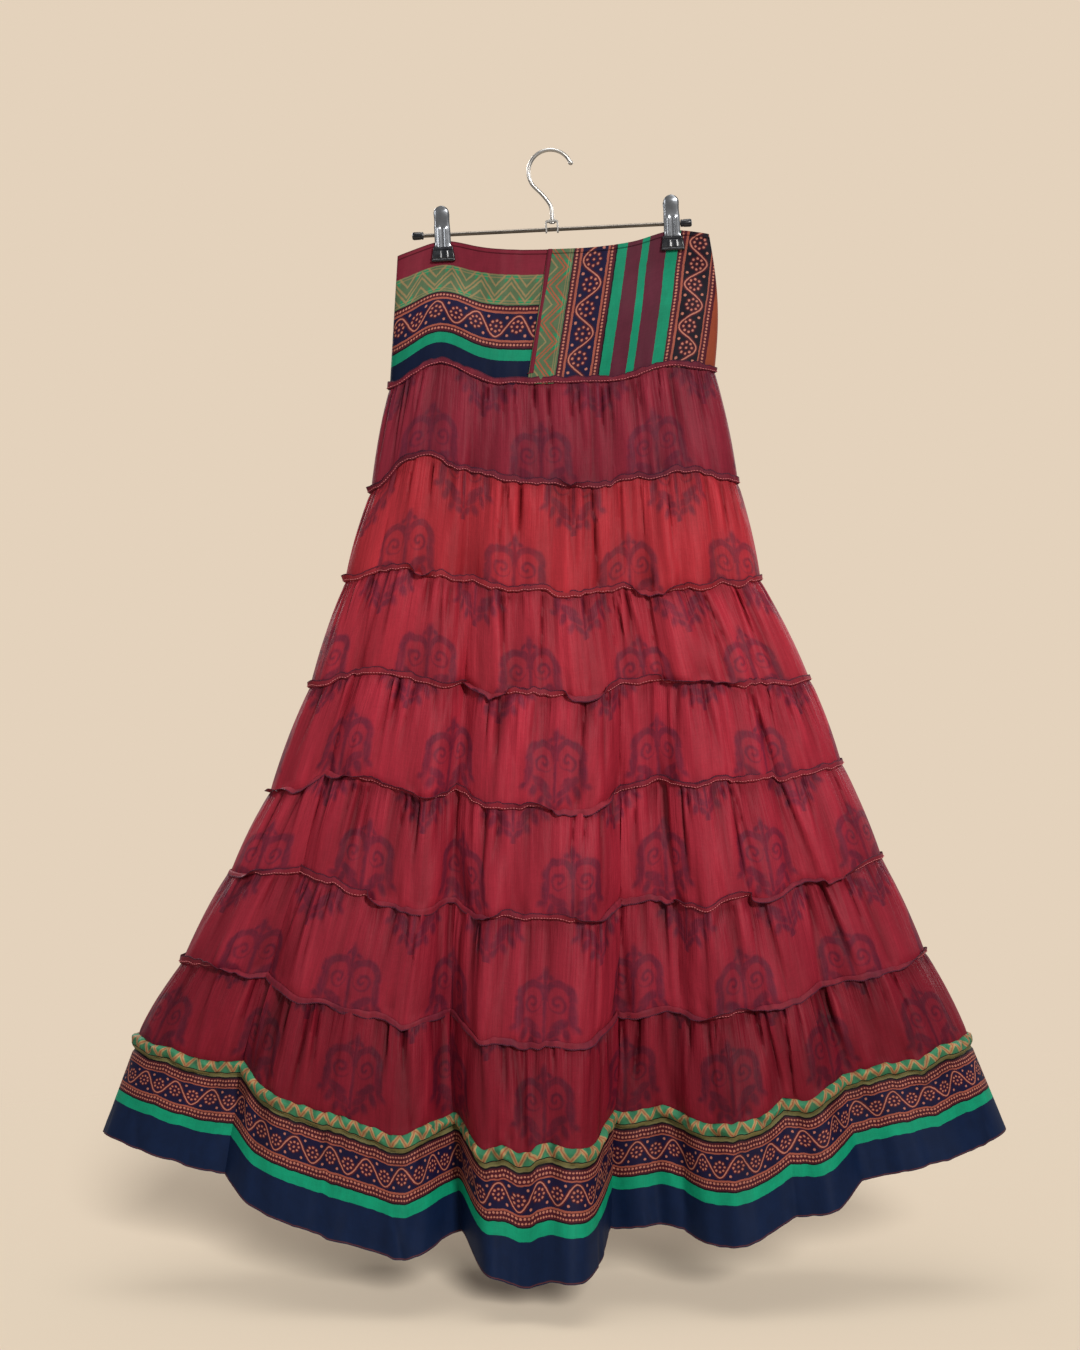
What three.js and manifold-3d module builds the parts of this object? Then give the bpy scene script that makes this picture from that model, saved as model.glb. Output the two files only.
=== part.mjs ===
// A tiered maxi skirt hanging from a metal clip hanger.
//
// Millimetres, +Z up, +X to the right and -Y towards whoever looks at the front.
// The origin is the inside top of the hook, where the hanger rests on a rail.
//
// The skirt is a flattened tube. A level counts its seams downwards: 0 is the waist edge, 1 the yoke
// seam, 2 to 7 the seams between the gathered tiers, 8 the top of the border and 9 the hem edge.
// A place on the tube is a side (front or back), a share of the width from left to right, and a level.

import * as THREE from 'three';
import { mergeVertices } from 'three/addons/utils/BufferGeometryUtils.js';
import Module from 'manifold-3d';

const wasm = await Module();
wasm.setup();

// ---------------------------------------------------------------- driving dimensions, skirt

const CLOTH = 1.2;            // thickness of every cloth wall
const SEAM_GAP = 0.4;         // clearance between two pieces that are sewn together
const FRONT = -1;
const BACK = 1;

// One row for each seam line: where its left and right ends are, its height at five even places from left
// to right across the front, how much higher it is at the middle of the back, how far front and back
// stand from the middle plane, how square the ends of the flattened tube are, and how far the two clips
// lift the line at their places.
const LEVELS = [
  { name: 'waist', leftX: -153, rightX: 158.5, z0: -106, z1: -99, z2: -99, z3: -93, z4: -85,
    backRise: 0, front: 9, back: 9, ends: 8, liftLeft: 10, liftRight: 9 },
  { name: 'yoke seam', leftX: -161, rightX: 164, z0: -243, z1: -237, z2: -234, z3: -232, z4: -222,
    backRise: 1, front: 20, back: 17, ends: 6, liftLeft: 25, liftRight: 12 },
  { name: 'seam 1', leftX: -180, rightX: 187, z0: -345, z1: -331, z2: -334, z3: -337, z4: -329,
    backRise: 0, front: 31, back: 25, ends: 5, liftLeft: 27, liftRight: 12 },
  { name: 'seam 2', leftX: -205, rightX: 210, z0: -432, z1: -435, z2: -441, z3: -444, z4: -428,
    backRise: 2, front: 42, back: 33, ends: 4.4, liftLeft: 14, liftRight: 5 },
  { name: 'seam 3', leftX: -241, rightX: 259, z0: -535, z1: -539, z2: -539, z3: -541, z4: -529,
    backRise: 3, front: 54, back: 42, ends: 4, liftLeft: 15, liftRight: 13 },
  { name: 'seam 4', leftX: -280, rightX: 291, z0: -645, z1: -645, z2: -647, z3: -641, z4: -612,
    backRise: 5, front: 67, back: 51, ends: 3.6, liftLeft: 24, liftRight: 14 },
  { name: 'seam 5', leftX: -319, rightX: 331, z0: -719, z1: -744, z2: -751, z3: -741, z4: -707,
    backRise: 8, front: 81, back: 61, ends: 3.3, liftLeft: 12, liftRight: 0 },
  { name: 'seam 6', leftX: -369, rightX: 374, z0: -808, z1: -840, z2: -863, z3: -842, z4: -800,
    backRise: 12, front: 95, back: 71, ends: 3, liftLeft: 0, liftRight: 0 },
  { name: 'border top', leftX: -411, rightX: 416, z0: -882, z1: -938, z2: -964, z3: -935, z4: -880,
    backRise: 16, front: 106, back: 79, ends: 2.8, liftLeft: 0, liftRight: 0 },
  { name: 'hem', leftX: -447, rightX: 455, z0: -978, z1: -1050, z2: -1080, z3: -1042, z4: -976,
    backRise: 20, front: 117, back: 86, ends: 2.6, liftLeft: 0, liftRight: 0 },
];
const YOKE_SEAM = 1;
const BORDER_TOP = 8;
const HEM = 9;

// The deep folds, one row each from left to right: where the fold's valley lies as a share of the width
// at the yoke seam and at the hem, how far the valley stands out at the hem, and how far the round lobe
// on its right does.
const FRONT_FOLDS = [
  { top: 0.00, hem: 0.000, valley: 0, crest: -8 },
  { top: 0.07, hem: 0.143, valley: -26, crest: 14 },
  { top: 0.17, hem: 0.258, valley: 18, crest: 21 },
  { top: 0.26, hem: 0.400, valley: -30, crest: 30 },
  { top: 0.44, hem: 0.470, valley: 32, crest: 42 },
  { top: 0.65, hem: 0.560, valley: -32, crest: -30 },
  { top: 0.75, hem: 0.638, valley: -18, crest: 22 },
  { top: 0.83, hem: 0.757, valley: 2, crest: 14 },
  { top: 0.91, hem: 0.830, valley: -14, crest: 6 },
  { top: 1.00, hem: 1.000, valley: 0, crest: 0 },
];
const BACK_FOLDS = [
  { top: 0.00, hem: 0.000, valley: 0, crest: 4 },
  { top: 0.10, hem: 0.125, valley: -22, crest: 20 },
  { top: 0.23, hem: 0.245, valley: -8, crest: 30 },
  { top: 0.37, hem: 0.365, valley: -26, crest: 16 },
  { top: 0.50, hem: 0.485, valley: -4, crest: 34 },
  { top: 0.64, hem: 0.620, valley: -28, crest: 22 },
  { top: 0.77, hem: 0.745, valley: -6, crest: 24 },
  { top: 0.89, hem: 0.870, valley: -18, crest: 4 },
  { top: 1.00, hem: 1.000, valley: 0, crest: 0 },
];
const FOLD_GROWTH = 1.3;      // the folds open downwards from nothing at the yoke seam
const FOLD_ROUNDNESS = 0.85;  // below 1 a lobe is broad and the valleys beside it are narrow
const FOLD_DIP = 0.5;          // how far a line drops for each millimetre that the cloth stands out
const END_CALM = 8;           // the folds die away in the outermost part of each half
const COLUMNS_PER_LOBE = 5;

const GATHER = 1.6;           // depth of the small gathers under a seam
const TIER_BELLY = 2.5;       // how far a tier puffs out between its seams
const LIP = { out: 5, wave: 1.4, down: 2.2, dip: 2.4 };   // the frilled seam edge under each tier
const UNDER_LIP = 2.3;        // how far under a seam line the next tier begins
const SEAM_BAND = 9;          // height of the seam edge that stands up over the foot of the yoke

// Where the clips grip the waist, and how the waist is pressed flat there.
const CLIP_X = { left: -108, right: 121.2 };
const PINCH = { half: 15, fade: 45, gap: 0.6, level: 0.19, endLevel: 0.6 };
const LIFT = { leftShare: 0.15, rightTop: 0.88, rightStep: 0.028, spread: 0.075 };
const YOKE_BULGE = 6;         // the yoke's right side stands out between its seams

// The right yoke panel laps over the left one.
const OVERLAP = { topShare: 0.483, seamShare: 0.423, under: 0.045, calm: 0.06, slope: 0.09 };
const BINDING_WIDTH = 0.014;  // share of the width covered by the binding on the lapped edge
const BINDING_RIM = 0.002;    // share by which the binding stops short of the lapped edge

// ---------------------------------------------------------------- driving dimensions, hanger

const HANGER_TILT = THREE.MathUtils.degToRad(2.8);   // the right end hangs higher
const BAR = { x: 1.5, z: -77.8, radius: 2, length: 272.2, sides: 12 };
const CAP = { radius: 4, length: 11.5, depth: 8, sides: 14 };
const RUNNING = 0.4;                                 // clearance round the bar
const HOOK = { wire: 1.9, radius: 22.1, sides: 10, steps: 34, tip: 2.4 };
const BRACKET = { width: 13, height: 12, depth: 8, sheet: 1.4, below: 3 };
const RIVET = { radius: 3, height: 1.4 };
const PLATE = { width: 16, top: 28, bottom: -12.2, sheet: 1.2, stand: 4.5, lean: 0.092, corner: 7.6 };
const EAR = { sheet: 1, radius: 3.6, outer: 7.4, inner: 5.9, reach: 8 };
const PAD = { top: -12.6, bottom: -27, widthTop: 20, widthBottom: 24, thick: 4.4, gap: 0.4, toe: 1.2 };
const SPRING = { inner: 2.4, outer: 3.8, length: 10 };

// ---------------------------------------------------------------- materials

function finish(color, roughness, metalness = 0) {
  return new THREE.MeshStandardMaterial({ color, roughness, metalness });
}
const RED_CLOTH = finish(0x8e2232, 0.6);
const YOKE_PRINT = finish(0x5a6b4a, 0.65);
const YOKE_STRIPE = finish(0x4d6a52, 0.65);
const BORDER_PRINT = finish(0x2b2348, 0.6);
const BINDING_CLOTH = finish(0x7a2430, 0.65);
const CHROME = finish(0xb4b6b8, 0.22, 1);
const BLACK_PLASTIC = finish(0x15161a, 0.4);

// ---------------------------------------------------------------- small helpers

const mix = (a, b, share) => a + (b - a) * share;
const clamp01 = (value) => Math.min(1, Math.max(0, value));
const smooth = (from, to, value) => {
  const share = clamp01((value - from) / (to - from));
  return share * share * (3 - 2 * share);
};
const bell = (offset, spread) => Math.exp(-0.5 * (offset / spread) ** 2);

// ---------------------------------------------------------------- the skirt's surface

// The row of LEVELS at a level between two seams.
function levelAt(level) {
  const upper = Math.min(Math.floor(level), LEVELS.length - 2);
  const share = level - upper;
  const row = {};
  for (const key of Object.keys(LEVELS[0])) {
    if (key !== 'name') row[key] = mix(LEVELS[upper][key], LEVELS[upper + 1][key], share);
  }
  return row;
}

// How far the waist is pressed flat by a clip, from 0 to 1.
function pinchAt(x, level) {
  const nearest = Math.min(Math.abs(x - CLIP_X.left), Math.abs(x - CLIP_X.right));
  const across = 1 - smooth(PINCH.half, PINCH.half + PINCH.fade, nearest);
  return across * (1 - smooth(PINCH.level, PINCH.endLevel, level));
}

// The smooth curve through values at even places from 0 to 1 (Lagrange's polynomial).
function curveThrough(values, share) {
  const last = values.length - 1;
  return values.reduce((sum, value, i) => {
    let weight = 1;
    for (let j = 0; j <= last; j++) {
      if (j !== i) weight *= (share * last - j) / (i - j);
    }
    return sum + value * weight;
  }, 0);
}

// The outer face of the smooth tube, before any fold.
function tubePoint(side, share, level) {
  const row = levelAt(level);
  const across = 2 * share - 1;
  const inYoke = Math.min(level, YOKE_SEAM);
  const bulge = YOKE_BULGE * Math.sin(Math.PI * inYoke) * smooth(0.8, 1, share);
  const x = mix(row.leftX, row.rightX, share) + bulge;
  const open = (side === FRONT ? row.front : row.back) * Math.sqrt(1 - Math.abs(across) ** row.ends);
  const pressed = Math.min(open, CLOTH + PINCH.gap / 2);
  const y = side * mix(open, pressed, pinchAt(x, level));
  const heights = [row.z0, row.z1, row.z2, row.z3, row.z4];
  const rise = side === FRONT ? 0 : row.backRise * (1 - across ** 2);
  const rightLift = LIFT.rightTop - LIFT.rightStep * level;
  const z = curveThrough(heights, share) + rise
    + row.liftLeft * bell(share - LIFT.leftShare, LIFT.spread)
    + row.liftRight * bell(share - rightLift, LIFT.spread);
  return new THREE.Vector3(x, y, z);
}

const foldsOf = (side) => (side === FRONT ? FRONT_FOLDS : BACK_FOLDS);
const foldShare = (fold, level) => mix(fold.top, fold.hem, clamp01((level - YOKE_SEAM) / (HEM - YOKE_SEAM)));

// A station is a place round the tube: side, lobe, and the way across that lobe from 0 to 1.
// The outermost lobes are spaced finely towards the tube's two ends, where it turns.
function stationShare(station, level) {
  const folds = foldsOf(station.side);
  let across = station.across;
  if (station.lobe === 0) across = 1 - Math.cos(Math.PI / 2 * across);
  if (station.lobe === folds.length - 2) across = Math.sin(Math.PI / 2 * across);
  return mix(foldShare(folds[station.lobe], level), foldShare(folds[station.lobe + 1], level), across);
}

// How far the deep folds move the cloth out from the smooth tube.
function foldOffset(station, level) {
  if (level <= YOKE_SEAM) return 0;
  const folds = foldsOf(station.side);
  const left = folds[station.lobe];
  const right = folds[station.lobe + 1];
  const floor = mix(left.valley, right.valley, station.across);
  const round = Math.sin(Math.PI * station.across) ** FOLD_ROUNDNESS;
  const growth = ((level - YOKE_SEAM) / (HEM - YOKE_SEAM)) ** FOLD_GROWTH;
  const calm = 1 - Math.abs(2 * stationShare(station, level) - 1) ** END_CALM;
  return growth * calm * (floor + (left.crest - floor) * round);
}

// Small gathers: every second lobe of a tier has a dent between two soft ridges.
function gatherOffset(station, level, tier) {
  if ((station.lobe + tier) % 2) return 0;
  const depth = GATHER * (1 + 0.4 * Math.sin(2.4 * station.lobe + 1.7 * tier));
  const calm = 1 - Math.abs(2 * stationShare(station, level) - 1) ** END_CALM;
  return -depth * calm * Math.cos(4 * Math.PI * station.across);
}

function skirtPoint(station, level, tier) {
  const point = tubePoint(station.side, stationShare(station, level), level);
  const out = foldOffset(station, level) + (tier ? gatherOffset(station, level, tier) : 0);
  point.y += station.side * out;
  point.z -= FOLD_DIP * foldOffset(station, level);
  return point;
}

// All stations round the tube: along the front from left to right, then back behind it.
function stationsRound() {
  const stations = [];
  for (const side of [FRONT, BACK]) {
    const lobes = foldsOf(side).length - 1;
    for (let step = 0; step < lobes * COLUMNS_PER_LOBE; step++) {
      const along = step / COLUMNS_PER_LOBE;
      const fromLeft = side === FRONT ? along : lobes - along;
      const lobe = Math.min(Math.floor(fromLeft), lobes - 1);
      stations.push({ side, lobe, across: fromLeft - lobe });
    }
  }
  return stations;
}
const STATIONS = stationsRound();

// One ring of the tube, moved out level with the ground by `out` and down by `down`.
// Either may be a function of the station.
function ring(level, tier, out = 0, down = 0) {
  const points = STATIONS.map((station) => skirtPoint(station, level, tier));
  return points.map((point, i) => {
    const before = points[(i + points.length - 1) % points.length];
    const after = points[(i + 1) % points.length];
    const outward = new THREE.Vector3(after.y - before.y, before.x - after.x, 0).normalize();
    const distance = typeof out === 'function' ? out(STATIONS[i]) : out;
    const drop = typeof down === 'function' ? down(STATIONS[i]) : down;
    return point.clone().addScaledVector(outward, distance).setZ(point.z - drop);
  });
}

// ---------------------------------------------------------------- cloth walls

// A point of a row, or the one that the cloth would go on to past the row's end. A closed ring goes
// round. At an end named in `mirrored` the row meets its mirror image on the other side of the tube.
function pointAlong(points, j, { closed, mirrored }) {
  const last = points.length - 1;
  if (j >= 0 && j <= last) return points[j];
  if (closed) return points[(j + points.length) % points.length];
  const side = j < 0 ? 'left' : 'right';
  if (!mirrored.includes(side)) return points[j < 0 ? 0 : last];
  const beside = points[j < 0 ? 1 : last - 1];
  return beside.clone().setY(-beside.y);
}

// A wall of cloth behind a grid of outer points: rows run downwards, and columns to the right as seen
// from outside. The rows are closed rings if `closed`.
function clothWall(rows, { closed = false, mirrored = [] }) {
  const height = rows.length;
  const width = rows[0].length;
  const column = (j) => j % width;
  const row = (i) => Math.min(height - 1, Math.max(0, i));
  const inner = rows.map((points, i) => points.map((point, j) => {
    const down = rows[row(i + 1)][j].clone().sub(rows[row(i - 1)][j]).normalize();
    const next = pointAlong(points, j + 1, { closed, mirrored });
    const right = next.clone().sub(pointAlong(points, j - 1, { closed, mirrored })).normalize();
    const outward = down.cross(right).normalize();
    return point.clone().addScaledVector(outward, -CLOTH);
  }));
  const at = (layer, i, j) => (layer * height + i) * width + column(j);
  const faces = [];
  const quad = (a, b, c, d) => faces.push(a, b, c, a, c, d);
  const spans = closed ? width : width - 1;
  for (let j = 0; j < spans; j++) {
    for (let i = 0; i < height - 1; i++) {
      quad(at(0, i, j), at(0, i + 1, j), at(0, i + 1, j + 1), at(0, i, j + 1));
      quad(at(1, i, j), at(1, i, j + 1), at(1, i + 1, j + 1), at(1, i + 1, j));
    }
    quad(at(0, 0, j), at(0, 0, j + 1), at(1, 0, j + 1), at(1, 0, j));
    const last = height - 1;
    quad(at(0, last, j), at(1, last, j), at(1, last, j + 1), at(0, last, j + 1));
  }
  if (!closed) {
    for (let i = 0; i < height - 1; i++) {
      quad(at(0, i, 0), at(1, i, 0), at(1, i + 1, 0), at(0, i + 1, 0));
      const last = width - 1;
      quad(at(0, i, last), at(0, i + 1, last), at(1, i + 1, last), at(1, i, last));
    }
  }
  const positions = [...rows.flat(), ...inner.flat()].flatMap((point) => point.toArray());
  const geometry = new THREE.BufferGeometry();
  geometry.setAttribute('position', new THREE.Float32BufferAttribute(positions, 3));
  geometry.setIndex(faces);
  return geometry;
}

// ---------------------------------------------------------------- yoke

const YOKE_ROWS = [0, PINCH.level, 0.42, 0.7, 1];
const END_GAP = 2e-5;         // share of the width left open where front and back meet at the sides

const overlapShare = (level) => mix(OVERLAP.topShare, OVERLAP.seamShare, level);

// How far the lapping panel stands out over the one under it.
function lapLift(share, level) {
  const edge = overlapShare(Math.min(level, YOKE_SEAM));
  const rise = smooth(edge - OVERLAP.calm, edge - 2 * BINDING_RIM, share);
  const fall = 1 - smooth(edge + OVERLAP.calm, edge + OVERLAP.calm + OVERLAP.slope, share);
  return (CLOTH + SEAM_GAP) * rise * fall;
}

// Even shares across a panel, set closer together towards the side seam that it ends at.
function panelShares(from, to, count, endAt) {
  const shares = [];
  for (let step = 0; step <= count; step++) {
    let along = step / count;
    if (endAt === 'left') along = 1 - Math.cos(Math.PI / 2 * along);
    if (endAt === 'right') along = Math.sin(Math.PI / 2 * along);
    if (endAt === 'both') along = (1 - Math.cos(Math.PI * along)) / 2;
    shares.push(mix(from, to, along));
  }
  return shares;
}

// Moves the two columns nearest to a grip's rims onto them.
function alignToGrips(shares) {
  const { leftX, rightX } = LEVELS[0];
  for (const clipX of Object.values(CLIP_X)) {
    for (const rim of [-PINCH.half, PINCH.half]) {
      const target = (clipX + rim - leftX) / (rightX - leftX);
      if (target <= shares[0] || target >= shares.at(-1)) continue;
      let nearest = 1;
      for (let j = 1; j < shares.length - 1; j++) {
        if (Math.abs(shares[j] - target) < Math.abs(shares[nearest] - target)) nearest = j;
      }
      shares[nearest] = target;
    }
  }
  return shares;
}

function panelPoint(side, share, level, lift) {
  const point = tubePoint(side, share, level);
  point.y += side * lift;
  return point;
}

// `lean` slides a panel's columns sideways with the level, because the overlap leans.
function yokePanel(side, shares, mirrored, lean) {
  const rows = YOKE_ROWS.map((level) => shares.map((share) => {
    const placed = share + lean(share, level);
    return panelPoint(side, placed, level, mirrored.includes('left') ? 0 : lapLift(placed, level));
  }));
  if (side === BACK) rows.forEach((points) => points.reverse());
  return clothWall(rows, { mirrored });
}

function yokeLeftGeometry() {
  const end = overlapShare(0) + OVERLAP.under;
  const shares = alignToGrips(panelShares(END_GAP, end, 14, 'left'));
  const lean = (share, level) => (overlapShare(level) - overlapShare(0)) * smooth(0.25, end, share);
  return yokePanel(FRONT, shares, ['left'], lean);
}

function yokeRightGeometry() {
  const start = overlapShare(0);
  const shares = alignToGrips(panelShares(start, 1 - END_GAP, 15, 'right'));
  const lean = (share, level) => (overlapShare(level) - start) * (1 - smooth(start, 0.75, share));
  return yokePanel(FRONT, shares, ['right'], lean);
}

function yokeBackGeometry() {
  const shares = alignToGrips(panelShares(END_GAP, 1 - END_GAP, 26, 'both'));
  return yokePanel(BACK, shares, ['left', 'right'], () => 0);
}

const SEAM_BAND_LEVEL = SEAM_BAND / 120;   // the band's height as a part of the yoke's
const BINDING_FOOT = YOKE_SEAM - SEAM_BAND_LEVEL - 0.006;

// A narrow strip of cloth sewn over the lapped edge of the right panel, down to the band.
function bindingGeometry() {
  const rows = YOKE_ROWS.map((level) => {
    const edge = overlapShare(level);
    return [edge, edge + BINDING_WIDTH].map((share) => {
      const lift = CLOTH + SEAM_GAP + lapLift(edge + BINDING_RIM, level);
      return panelPoint(FRONT, share, Math.min(level, BINDING_FOOT), lift);
    });
  });
  return clothWall(rows, {});
}

// ---------------------------------------------------------------- tiers and border

const ruffle = (station, tier, turn) =>
  Math.sin(2 * Math.PI * station.across + 1.9 * station.lobe + 2.3 * tier + turn);

// The frilled edge that stands out over the seam at the foot of a tier.
function lipRow(level, tier) {
  const out = (station) => LIP.out + LIP.wave * ruffle(station, tier, 0);
  const down = (station) => LIP.down + LIP.dip * ruffle(station, tier, 1.4);
  return ring(level, tier + 1, out, down);
}

// The first tier's upper edge stands up over the yoke's foot, clear of both yoke panels.
function firstTierGeometry() {
  const clear = 2 * (CLOTH + SEAM_GAP) + SEAM_GAP;
  const single = CLOTH + 2 * SEAM_GAP;
  const over = (station) => {
    const edge = overlapShare(YOKE_SEAM);
    const share = stationShare(station, YOKE_SEAM);
    const near = station.side === FRONT ? bell(share - edge, 0.09) : 0;
    return mix(single, clear, clamp01(near * 1.5));
  };
  return clothWall([
    ring(YOKE_SEAM - SEAM_BAND_LEVEL, 0, over),
    ring(YOKE_SEAM, 0, over, 1),
    ring(YOKE_SEAM + 0.06, 1, 0),
    ring(YOKE_SEAM + 0.5, 1, TIER_BELLY),
    ring(YOKE_SEAM + 1, 2),
    lipRow(YOKE_SEAM + 1, 1),
  ], { closed: true });
}

function tierGeometry(tier) {
  const top = YOKE_SEAM + tier - 1;
  const rows = [
    ring(top, tier, 0, UNDER_LIP),
    ring(top + 0.5, tier, TIER_BELLY),
    ring(top + 1, tier + 1),
  ];
  if (top + 1 < BORDER_TOP) rows.push(lipRow(top + 1, tier));
  return clothWall(rows, { closed: true });
}

// The border's upper part is folded into a soft raised tuck, and hangs free below it.
const TUCK = { out: 5.5, height: 13, foot: 1.5 };

function borderGeometry() {
  const height = LEVELS[BORDER_TOP].z2 - LEVELS[HEM].z2;
  const tuckLevel = TUCK.height / height;
  return clothWall([
    ring(BORDER_TOP, BORDER_TOP, 0, SEAM_GAP * 1.3),
    ring(BORDER_TOP, BORDER_TOP, TUCK.out * 0.85, TUCK.height * 0.2),
    ring(BORDER_TOP, BORDER_TOP, TUCK.out, TUCK.height * 0.6),
    ring(BORDER_TOP + tuckLevel, BORDER_TOP, TUCK.foot),
    ring(BORDER_TOP + 0.55, BORDER_TOP, TIER_BELLY),
    ring(HEM, BORDER_TOP),
  ], { closed: true });
}

// ---------------------------------------------------------------- solids with holes

function solidOf(geometry) {
  const bare = geometry.index ? geometry.toNonIndexed() : geometry.clone();
  bare.deleteAttribute('normal');
  bare.deleteAttribute('uv');
  const merged = mergeVertices(bare, 1e-4);
  return new wasm.Manifold(new wasm.Mesh({
    numProp: 3,
    vertProperties: merged.attributes.position.array,
    triVerts: new Uint32Array(merged.index.array),
  }));
}

function geometryOf(solid) {
  const { vertProperties, triVerts, numProp, numVert } = solid.getMesh();
  const positions = [];
  for (let i = 0; i < numVert; i++) {
    positions.push(...vertProperties.subarray(i * numProp, i * numProp + 3));
  }
  const geometry = new THREE.BufferGeometry();
  geometry.setAttribute('position', new THREE.Float32BufferAttribute(positions, 3));
  geometry.setIndex(new THREE.BufferAttribute(triVerts, 1));
  return geometry;
}

// A cylinder lying along X.
function rodX(radius, length, sides) {
  return new THREE.CylinderGeometry(radius, radius, length, sides).rotateZ(Math.PI / 2);
}

// ---------------------------------------------------------------- hanger, in its own frame
// Here the bar's middle is the origin and the bar runs along X.

// The wire rises from the bracket, bends left and runs round the hook to a small ball.
function hookGeometry(hookX, hookZ) {
  const stemX = 0.6;
  const stemZ = BRACKET.height - BRACKET.below;
  const from = THREE.MathUtils.degToRad(218);
  const to = THREE.MathUtils.degToRad(22);
  const round = [];
  for (let step = 0; step <= 14; step++) {
    const angle = mix(from, to, step / 14);
    round.push(new THREE.Vector3(
      hookX + HOOK.radius * Math.cos(angle), 0, hookZ + HOOK.radius * Math.sin(angle)));
  }
  const path = new THREE.CatmullRomCurve3([
    new THREE.Vector3(stemX, 0, stemZ - BRACKET.sheet - RIVET.height),
    new THREE.Vector3(stemX, 0, stemZ + 6),
    new THREE.Vector3(stemX - 1, 0, stemZ + 15),
    new THREE.Vector3(mix(stemX, round[0].x, 0.45), 0, stemZ + 25),
    ...round,
  ], false, 'centripetal');
  const section = new THREE.Shape().absarc(0, 0, HOOK.wire, 0, 2 * Math.PI);
  const wire = new THREE.ExtrudeGeometry(section, {
    steps: HOOK.steps, curveSegments: HOOK.sides / 2, extrudePath: path, bevelEnabled: false,
  });
  const ball = new THREE.SphereGeometry(HOOK.tip, 12, 8).translate(...round.at(-1).toArray());
  const rivet = new THREE.CylinderGeometry(RIVET.radius, RIVET.radius, RIVET.height, 14)
    .rotateX(Math.PI / 2)
    .translate(stemX, 0, stemZ - BRACKET.sheet - RUNNING - RIVET.height / 2);
  return geometryOf(solidOf(wire).add(solidOf(ball)).add(solidOf(rivet)));
}

// A bent strip with the bar through its two legs and the hook's stem through its top.
function bracketGeometry() {
  const half = BRACKET.width / 2;
  const top = BRACKET.height - BRACKET.below;
  const outline = new THREE.Shape([
    [-half, -BRACKET.below], [-half, top], [half, top], [half, -BRACKET.below],
    [half - BRACKET.sheet, -BRACKET.below], [half - BRACKET.sheet, top - BRACKET.sheet],
    [BRACKET.sheet - half, top - BRACKET.sheet], [BRACKET.sheet - half, -BRACKET.below],
  ].map(([x, z]) => new THREE.Vector2(x, z)));
  const strip = new THREE.ExtrudeGeometry(outline, { depth: BRACKET.depth, bevelEnabled: false })
    .translate(0, 0, -BRACKET.depth / 2)
    .rotateX(Math.PI / 2);
  const barHole = rodX(BAR.radius + RUNNING, 2 * BRACKET.width, BAR.sides);
  const stemHole = new THREE.CylinderGeometry(HOOK.wire + RUNNING, HOOK.wire + RUNNING, 8, HOOK.sides)
    .rotateX(Math.PI / 2)
    .translate(0.6, 0, top);
  return geometryOf(solidOf(strip).subtract(solidOf(barHole)).subtract(solidOf(stemHole)));
}

// An end cap: a plastic sleeve closed at its outer end. It opens towards -X.
function capGeometry() {
  const outer = rodX(CAP.radius, CAP.length, CAP.sides);
  const bore = rodX(BAR.radius + RUNNING, CAP.depth, BAR.sides)
    .translate((CAP.depth - CAP.length) / 2 - 0.01, 0, 0);
  return geometryOf(solidOf(outer).subtract(solidOf(bore)));
}

// A clip's plate: a leaning strip with a round finger end, and two ears that turn on the bar.
// It is made for the front; the back plate is the same turned round.
function plateGeometry(earX) {
  const half = PLATE.width / 2;
  const face = new THREE.Shape();
  face.moveTo(-half, PLATE.bottom);
  face.lineTo(half, PLATE.bottom);
  face.lineTo(half, PLATE.top - PLATE.corner);
  face.absarc(0, PLATE.top - PLATE.corner, half, 0, Math.PI, false);
  face.closePath();
  const strip = new THREE.ExtrudeGeometry(face, {
    depth: PLATE.sheet, curveSegments: 7, bevelEnabled: false,
  })
    .rotateX(Math.PI / 2)
    .rotateX(Math.atan(PLATE.lean))
    .translate(0, -PLATE.stand, 0);
  let plate = solidOf(strip);
  const root = -PLATE.stand - PLATE.sheet / 2;
  const outline = new THREE.Shape();
  outline.moveTo(root - PLATE.lean * EAR.reach, EAR.reach);
  outline.lineTo(root + PLATE.lean * EAR.reach, -EAR.reach);
  outline.lineTo(0, -EAR.radius);
  outline.absarc(0, 0, EAR.radius, -Math.PI / 2, Math.PI / 2, false);
  outline.closePath();
  outline.holes.push(new THREE.Path().absarc(0, 0, BAR.radius + RUNNING, 0, 2 * Math.PI, true));
  for (const side of [-1, 1]) {
    const ear = new THREE.ExtrudeGeometry(outline, {
      depth: EAR.sheet, curveSegments: 7, bevelEnabled: false,
    })
      .rotateX(Math.PI / 2)
      .rotateZ(Math.PI / 2)
      .translate(side * earX - EAR.sheet / 2, 0, 0);
    plate = plate.add(solidOf(ear));
  }
  return geometryOf(plate);
}

// A clip's plastic jaw, flat where it grips the cloth.
function padGeometry(inside) {
  const outline = new THREE.Shape([
    [-PAD.widthTop / 2, PAD.top], [-PAD.widthBottom / 2, PAD.bottom + PAD.toe],
    [-PAD.widthBottom / 2 + PAD.toe, PAD.bottom], [PAD.widthBottom / 2 - PAD.toe, PAD.bottom],
    [PAD.widthBottom / 2, PAD.bottom + PAD.toe], [PAD.widthTop / 2, PAD.top],
  ].map(([x, z]) => new THREE.Vector2(x, z)));
  return new THREE.ExtrudeGeometry(outline, { depth: PAD.thick, bevelEnabled: false })
    .rotateX(Math.PI / 2)
    .translate(0, -inside, 0);
}

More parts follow.
